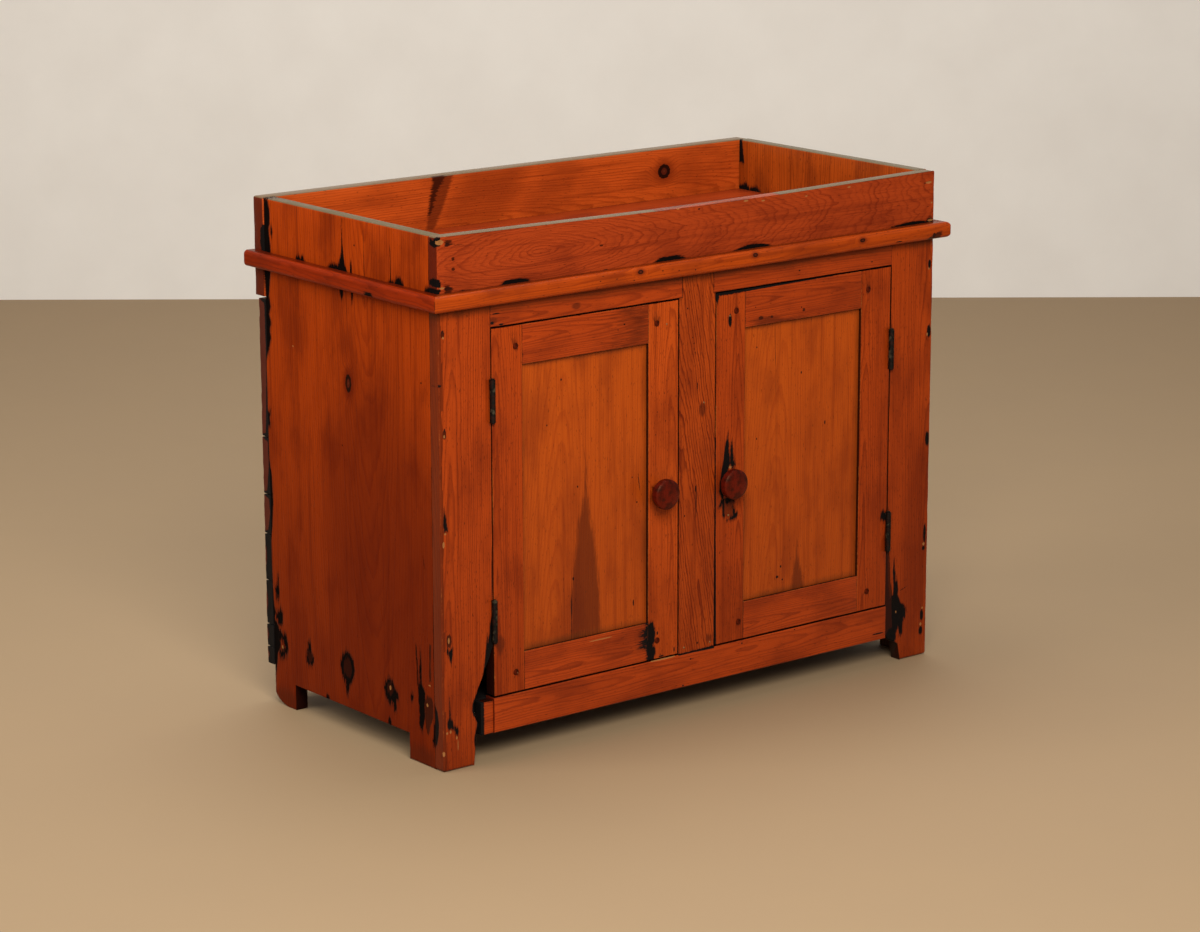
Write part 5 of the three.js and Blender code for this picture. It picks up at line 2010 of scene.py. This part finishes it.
@dataclass
class Ironmongery:
    """The hinges with their screws, the nails and the worm holes.

    Attributes:
        screw_radius: The radius of a hinge screw's head.
        screw_rows: Where a leaf's screws are, as shares of its height.
        nail_radius: The radius of a nail's head.
        hole_radius: The radius of a worm hole.
        back_nail_columns: Where the back boards are nailed, across from the left.
        back_nail_rows: Where those nails are, as shares of a board's width.
    """

    screw_radius: float = 3.0
    screw_rows: tuple[float, ...] = (0.17, 0.5, 0.83)
    nail_radius: float = 1.5
    hole_radius: float = 0.75
    back_nail_columns: tuple[float, ...] = (11.0, 964.0)
    back_nail_rows: tuple[float, ...] = (0.25, 0.75)

    def screws(self, iron: Material, hand: Hand, leaf: str, body: str) -> None:
        """Sets the screws in the leaves of one kind at one door.

        Args:
            iron: The screws' material.
            hand: The door.
            leaf: The kind of leaf.
            body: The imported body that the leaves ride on.
        """
        places = []
        inward = 1.0 if (hand is Hand.LEFT) == (leaf == "frame_leaf") else -1.0
        for place in ("upper", "lower"):
            low, high = case_box(f"hinge_{leaf}_{hand.value}_{place}")
            axis = (low[0] + high[0]) / 2
            for i, share in enumerate(self.screw_rows):
                depth = 8.0 if i == 1 else 12.5
                places.append((axis - inward * 0.4, depth, low[2] + share * (high[2] - low[2])))
        Fixings(
            f"hinge_screws_{leaf}_{hand.value}", body, "hinge_iron", iron, tuple(places), (inward, 0.0, 0.0),
            self.screw_radius, 0.15, 0.05, Head.SLOTTED,
        ).build()

    def back_nails(self) -> tuple[tuple[float, float, float], ...]:
        """Two nails at each end of each back board."""
        places = []
        for i in range(len(Case.back_seeds)):
            low, high = case_box(f"back_board_{i + 1}")
            for across in self.back_nail_columns:
                for share in self.back_nail_rows:
                    places.append((across, high[1], low[2] + share * (high[2] - low[2])))
        return tuple(places)

    def front_nails(self, name: str, body: str, pale: Material) -> None:
        """Builds the nail heads that show in the front of a body."""
        Fixings(name, body, "frame_pine", pale, NAILS[body], FORWARD, self.nail_radius, 0.5).build()

    def worm_holes(self, body: str, dark: Material) -> None:
        """Builds the worm holes in the front of a body."""
        name, holes = f"worm_holes_{body}", WORM_HOLES[body]
        Fixings(name, body, "frame_pine", dark, holes, FORWARD, self.hole_radius, 0.3, 0.3).build()

    def build(self) -> None:
        """Builds every hinge, screw, nail and worm hole."""
        iron = CastIron().dress()
        for hand in Hand:
            for place in ("upper", "lower"):
                Hinge(hand, place).build(iron)
            self.screws(iron, hand, "frame_leaf", "case")
            self.screws(iron, hand, "door_leaf", hand.body)
        pale, dark = rubbed_nail(), dark_hole()
        self.front_nails("nails_case_front", "case", pale)
        Fixings(
            "nails_back_boards", "case", "hinge_iron", iron, self.back_nails(), (0.0, 1.0, 0.0), 2.6, 0.8,
            seed=9,
        ).build()
        for hand in Hand:
            self.front_nails(f"nails_{hand.body}", hand.body, pale)
            self.worm_holes(hand.body, dark)
        self.worm_holes("case", dark)


@dataclass
class Studio:
    """A pale floor and wall, soft lamps, and the camera where the photographer stood.

    Attributes:
        camera_place: The camera's place in the row frame, in metres.
        yaw: How far the camera turns from +Y towards +X.
        pitch: How far it looks down.
        roll: How far it leans.
        lens: Its focal length on a 36 mm sensor.
    """

    camera_place: tuple[float, float, float] = (-3.36965, -4.23424, 1.66603)
    yaw: float = 0.67
    pitch: float = 0.2387
    roll: float = -0.0024
    lens: float = 105.585
    floor_colour: str = "#9c8363"
    wall_colour: str = "#f5f2ed"

    def camera(self) -> None:
        """Sets the camera up."""
        level = math.cos(self.pitch)
        ahead = Vector((math.sin(self.yaw) * level, math.cos(self.yaw) * level, -math.sin(self.pitch)))
        right = Vector((math.cos(self.yaw), -math.sin(self.yaw), 0))
        up = right.cross(ahead)
        leant_right = math.cos(self.roll) * right + math.sin(self.roll) * up
        leant_up = -math.sin(self.roll) * right + math.cos(self.roll) * up
        data = bpy.data.cameras.new("camera")
        data.lens = self.lens
        data.sensor_width = 36
        data.sensor_fit = "HORIZONTAL"
        data.clip_end = 60
        camera = bpy.data.objects.new("camera", data)
        turn = Matrix((leant_right, leant_up, -ahead)).transposed().to_4x4()
        camera.matrix_world = Matrix.Translation(self.camera_place) @ turn
        bpy.context.scene.collection.objects.link(camera)
        bpy.context.scene.camera = camera

    def plain(self, name: str, code: str) -> Material:
        """Painted board for the set: matt, with the faintest mottle of a roller.

        Args:
            name: What the finish is called.
            code: Its colour.

        Returns:
            The material.
        """
        material, tree = new_material(name)
        where = put(tree, "TexCoord", out="Object")
        mottle = put(tree, "TexNoise", {"Vector": where, "Scale": 6.0, "Detail": 4.0})
        share = put(tree, "MapRange", (mottle, 0.3, 0.7, 0.0, 0.06))
        colour = put(tree, "Mix", {0: share, 6: linear(code), 7: linear("#8a7460")}, out=2, data_type="RGBA")
        shader = put(tree, "BsdfPrincipled", {"Base Color": colour, "Roughness": 0.75})
        put(tree, "OutputMaterial", {"Surface": shader}, out=None)
        return material

    def set_pieces(self) -> None:
        """Builds the floor and the far wall."""
        span, gap, height = 9.0, 3.2, 5.0
        floor = [(-span, -span, 0), (span, -span, 0), (span, span, 0), (-span, span, 0)]
        away = Vector((math.sin(self.yaw), math.cos(self.yaw), 0))
        side = Vector((away.y, -away.x, 0)) * span
        middle, rise = away * gap, Vector((0, 0, height))
        wall = [middle - side, middle + side, middle + side + rise, middle - side + rise]
        for name, corners, code in (("floor", floor, self.floor_colour), ("wall", wall, self.wall_colour)):
            mesh = bpy.data.meshes.new(f"studio_{name}")
            mesh.from_pydata(corners, [], [(0, 1, 2, 3)])
            mesh.materials.append(self.plain(f"painted_{name}", code))
            new_object(f"studio_{name}", mesh)

    def lamp(
        self, name: str, place: tuple[float, float, float], size: float, power: float, tint: str
    ) -> None:
        """Hangs a square soft lamp that looks at the middle of the object.

        Args:
            name: What the lamp is called.
            place: Where it hangs, in metres.
            size: The length of its side, in metres.
            power: Its power in watts.
            tint: The colour of its light.
        """
        data = bpy.data.lights.new(name, "AREA")
        data.size = size
        data.energy = power
        data.color = linear(tint)[:3]
        lamp = bpy.data.objects.new(name, data)
        lamp.location = place
        aim = Vector((0, 0, 0.4)) - Vector(place)
        lamp.rotation_euler = aim.to_track_quat("-Z", "Y").to_euler()
        bpy.context.scene.collection.objects.link(lamp)

    def build(self) -> None:
        """Sets up the studio."""
        self.set_pieces()
        self.camera()
        self.lamp("window_lamp", (-1.6, -2.7, 2.5), 1.8, 134, "#fffaf2")
        self.lamp("side_lamp", (-3.6, 0.9, 2.7), 2.0, 70, "#fffaf2")
        self.lamp("top_lamp", (0.4, 0.6, 3.4), 2.2, 60, "#ffffff")
        world = bpy.data.worlds.new("pale_room")
        world.use_nodes = True
        world.node_tree.nodes.clear()
        glow = put(world.node_tree, "Background", {"Color": linear("#f3efe8"), "Strength": 0.24})
        put(world.node_tree, "OutputWorld", {"Surface": glow}, out=None)
        bpy.context.scene.world = world
        bpy.context.scene.view_settings.view_transform = "Standard"


def main() -> None:
    """Builds the dry sink in its studio."""
    logging.basicConfig(level=logging.INFO, format="%(name)s %(relativeCreated)d ms: %(message)s")
    left = Door(
        Hand.LEFT,
        {
            "top_rail": (
                Patch(
                    Kind.STAIN, ((322, 590), (345, 625), (335, 660), (396, 660), (396, 590)), 0.0, 5.0, 13.0
                ),
                *spots(Kind.CHAR, (342, 631, 1.2, 1.2)),
            ),
            "bottom_rail": (
                *several(Kind.CHAR, 0.8, 1.5, LEFT_DOOR_BURN),
                *several(Kind.CHAR, 0.5, 1.5, LEFT_DOOR_ARM, ragged=3.4),
                *spots(Kind.BARE, (296, 151, 24, 1.0)),
            ),
            "meeting_stile": (
                *several(Kind.CHAR, 0.8, 1.5, LEFT_DOOR_BURN),
                *spots(Kind.CHAR, (406.5, 140, 1.4, 3), (414, 102, 5, 1.2), (440, 108, 1.2, 4)),
                *spots(Kind.SCORCH, (406, 128, 2.6, 4)),
            ),
            "hinge_stile": spots(Kind.STAIN, (106, 177, 8, 14)),
            "panel": (
                Patch(Kind.STAIN, LEFT_PANEL_STAIN, 0.0, 4.0, 4.0),
                *splits((244, 158, 262, 1.6, 2), (378, 362, 400, 1.3, -5)),
                *spots(Kind.CHAR, (227, 561.5, 1.2, 1.6), (200, 496, 1.1, 1.4), (257, 394, 1.1, 1.3),
                       (371, 352, 1.2, 1.4), (364, 195, 1.1, 5), (248, 253, 1.4, 2.4), (391, 247, 1.2, 1.6),
                       (362, 392, 1.1, 1.2)),
            ),
        },
        seed=80,
    )
    right = Door(
        Hand.RIGHT,
        {
            "top_rail": (
                Patch(Kind.STAIN, RIGHT_RAIL_STAIN, 0.0, 4.0, 5.0),
                # Painted shade of the wider gap above the door
                *several(Kind.CHAR, 0.1, 1.5, RIGHT_DOOR_TOP_GAP_SHADE, ragged=0.35),
                *spots(Kind.SCORCH, (612, 607, 5, 3), (634, 606, 3, 2), (700, 609, 2.6, 3)),
            ),
            "meeting_stile": (
                # Burns round the knob, partly a painted shadow of the knob
                *several(Kind.CHAR, 0.6, 1.4, *RIGHT_KNOB_CHAR_AND_SHADOW),
                *several(Kind.STAIN, 0.4, 1.8, *RIGHT_DOOR_SCORCH),
                # Painted shade of the wider gaps at the door's upper left corner, left edge and top
                *several(Kind.CHAR, 0.6, 1.5, RIGHT_CORNER_GAP_SHADE),
                *several(Kind.CHAR, 0.1, 1.5, RIGHT_DOOR_GAP_SHADE, RIGHT_DOOR_TOP_GAP_SHADE, ragged=0.35),
                *spots(Kind.BARE, (551.5, 380, 3.4, 2.6)),
                *spots(Kind.CHAR, (549.3, 611, 3.6, 9)),
            ),
            "hinge_stile": several(Kind.CHAR, 0.6, 1.5, RIGHT_HINGE_CHAR),
            "panel": (
                Patch(Kind.STAIN, RIGHT_PANEL_STAIN, 0.0, 4.0, 3.0),
                *spots(Kind.CHAR, (752, 421, 1.2, 3), (701, 508, 1.2, 1.6), (609, 560, 1.1, 1.2),
                       (610, 415, 1.1, 1.2), (662, 201, 1.6, 1.6), (655, 185, 2.4, 1.6),
                       (666, 179, 1.4, 1.4)),
                Patch(
                    Kind.STAIN, ((645, 598), (648, 500), (651, 396), (649, 500), (646.4, 598)), 0.2, 1.2, 0.5
                ),
                *spots(Kind.BARE, (646, 154.5, 7, 1.6)),
            ),
        },
        seed=90,
    )
    for assembly in (Case(), FaceFrame(), Well(), Moulding(), left, right, Ironmongery(), Studio()):
        log.info("building %s", type(assembly).__name__)
        assembly.build()


if __name__ == "__main__":
    main()
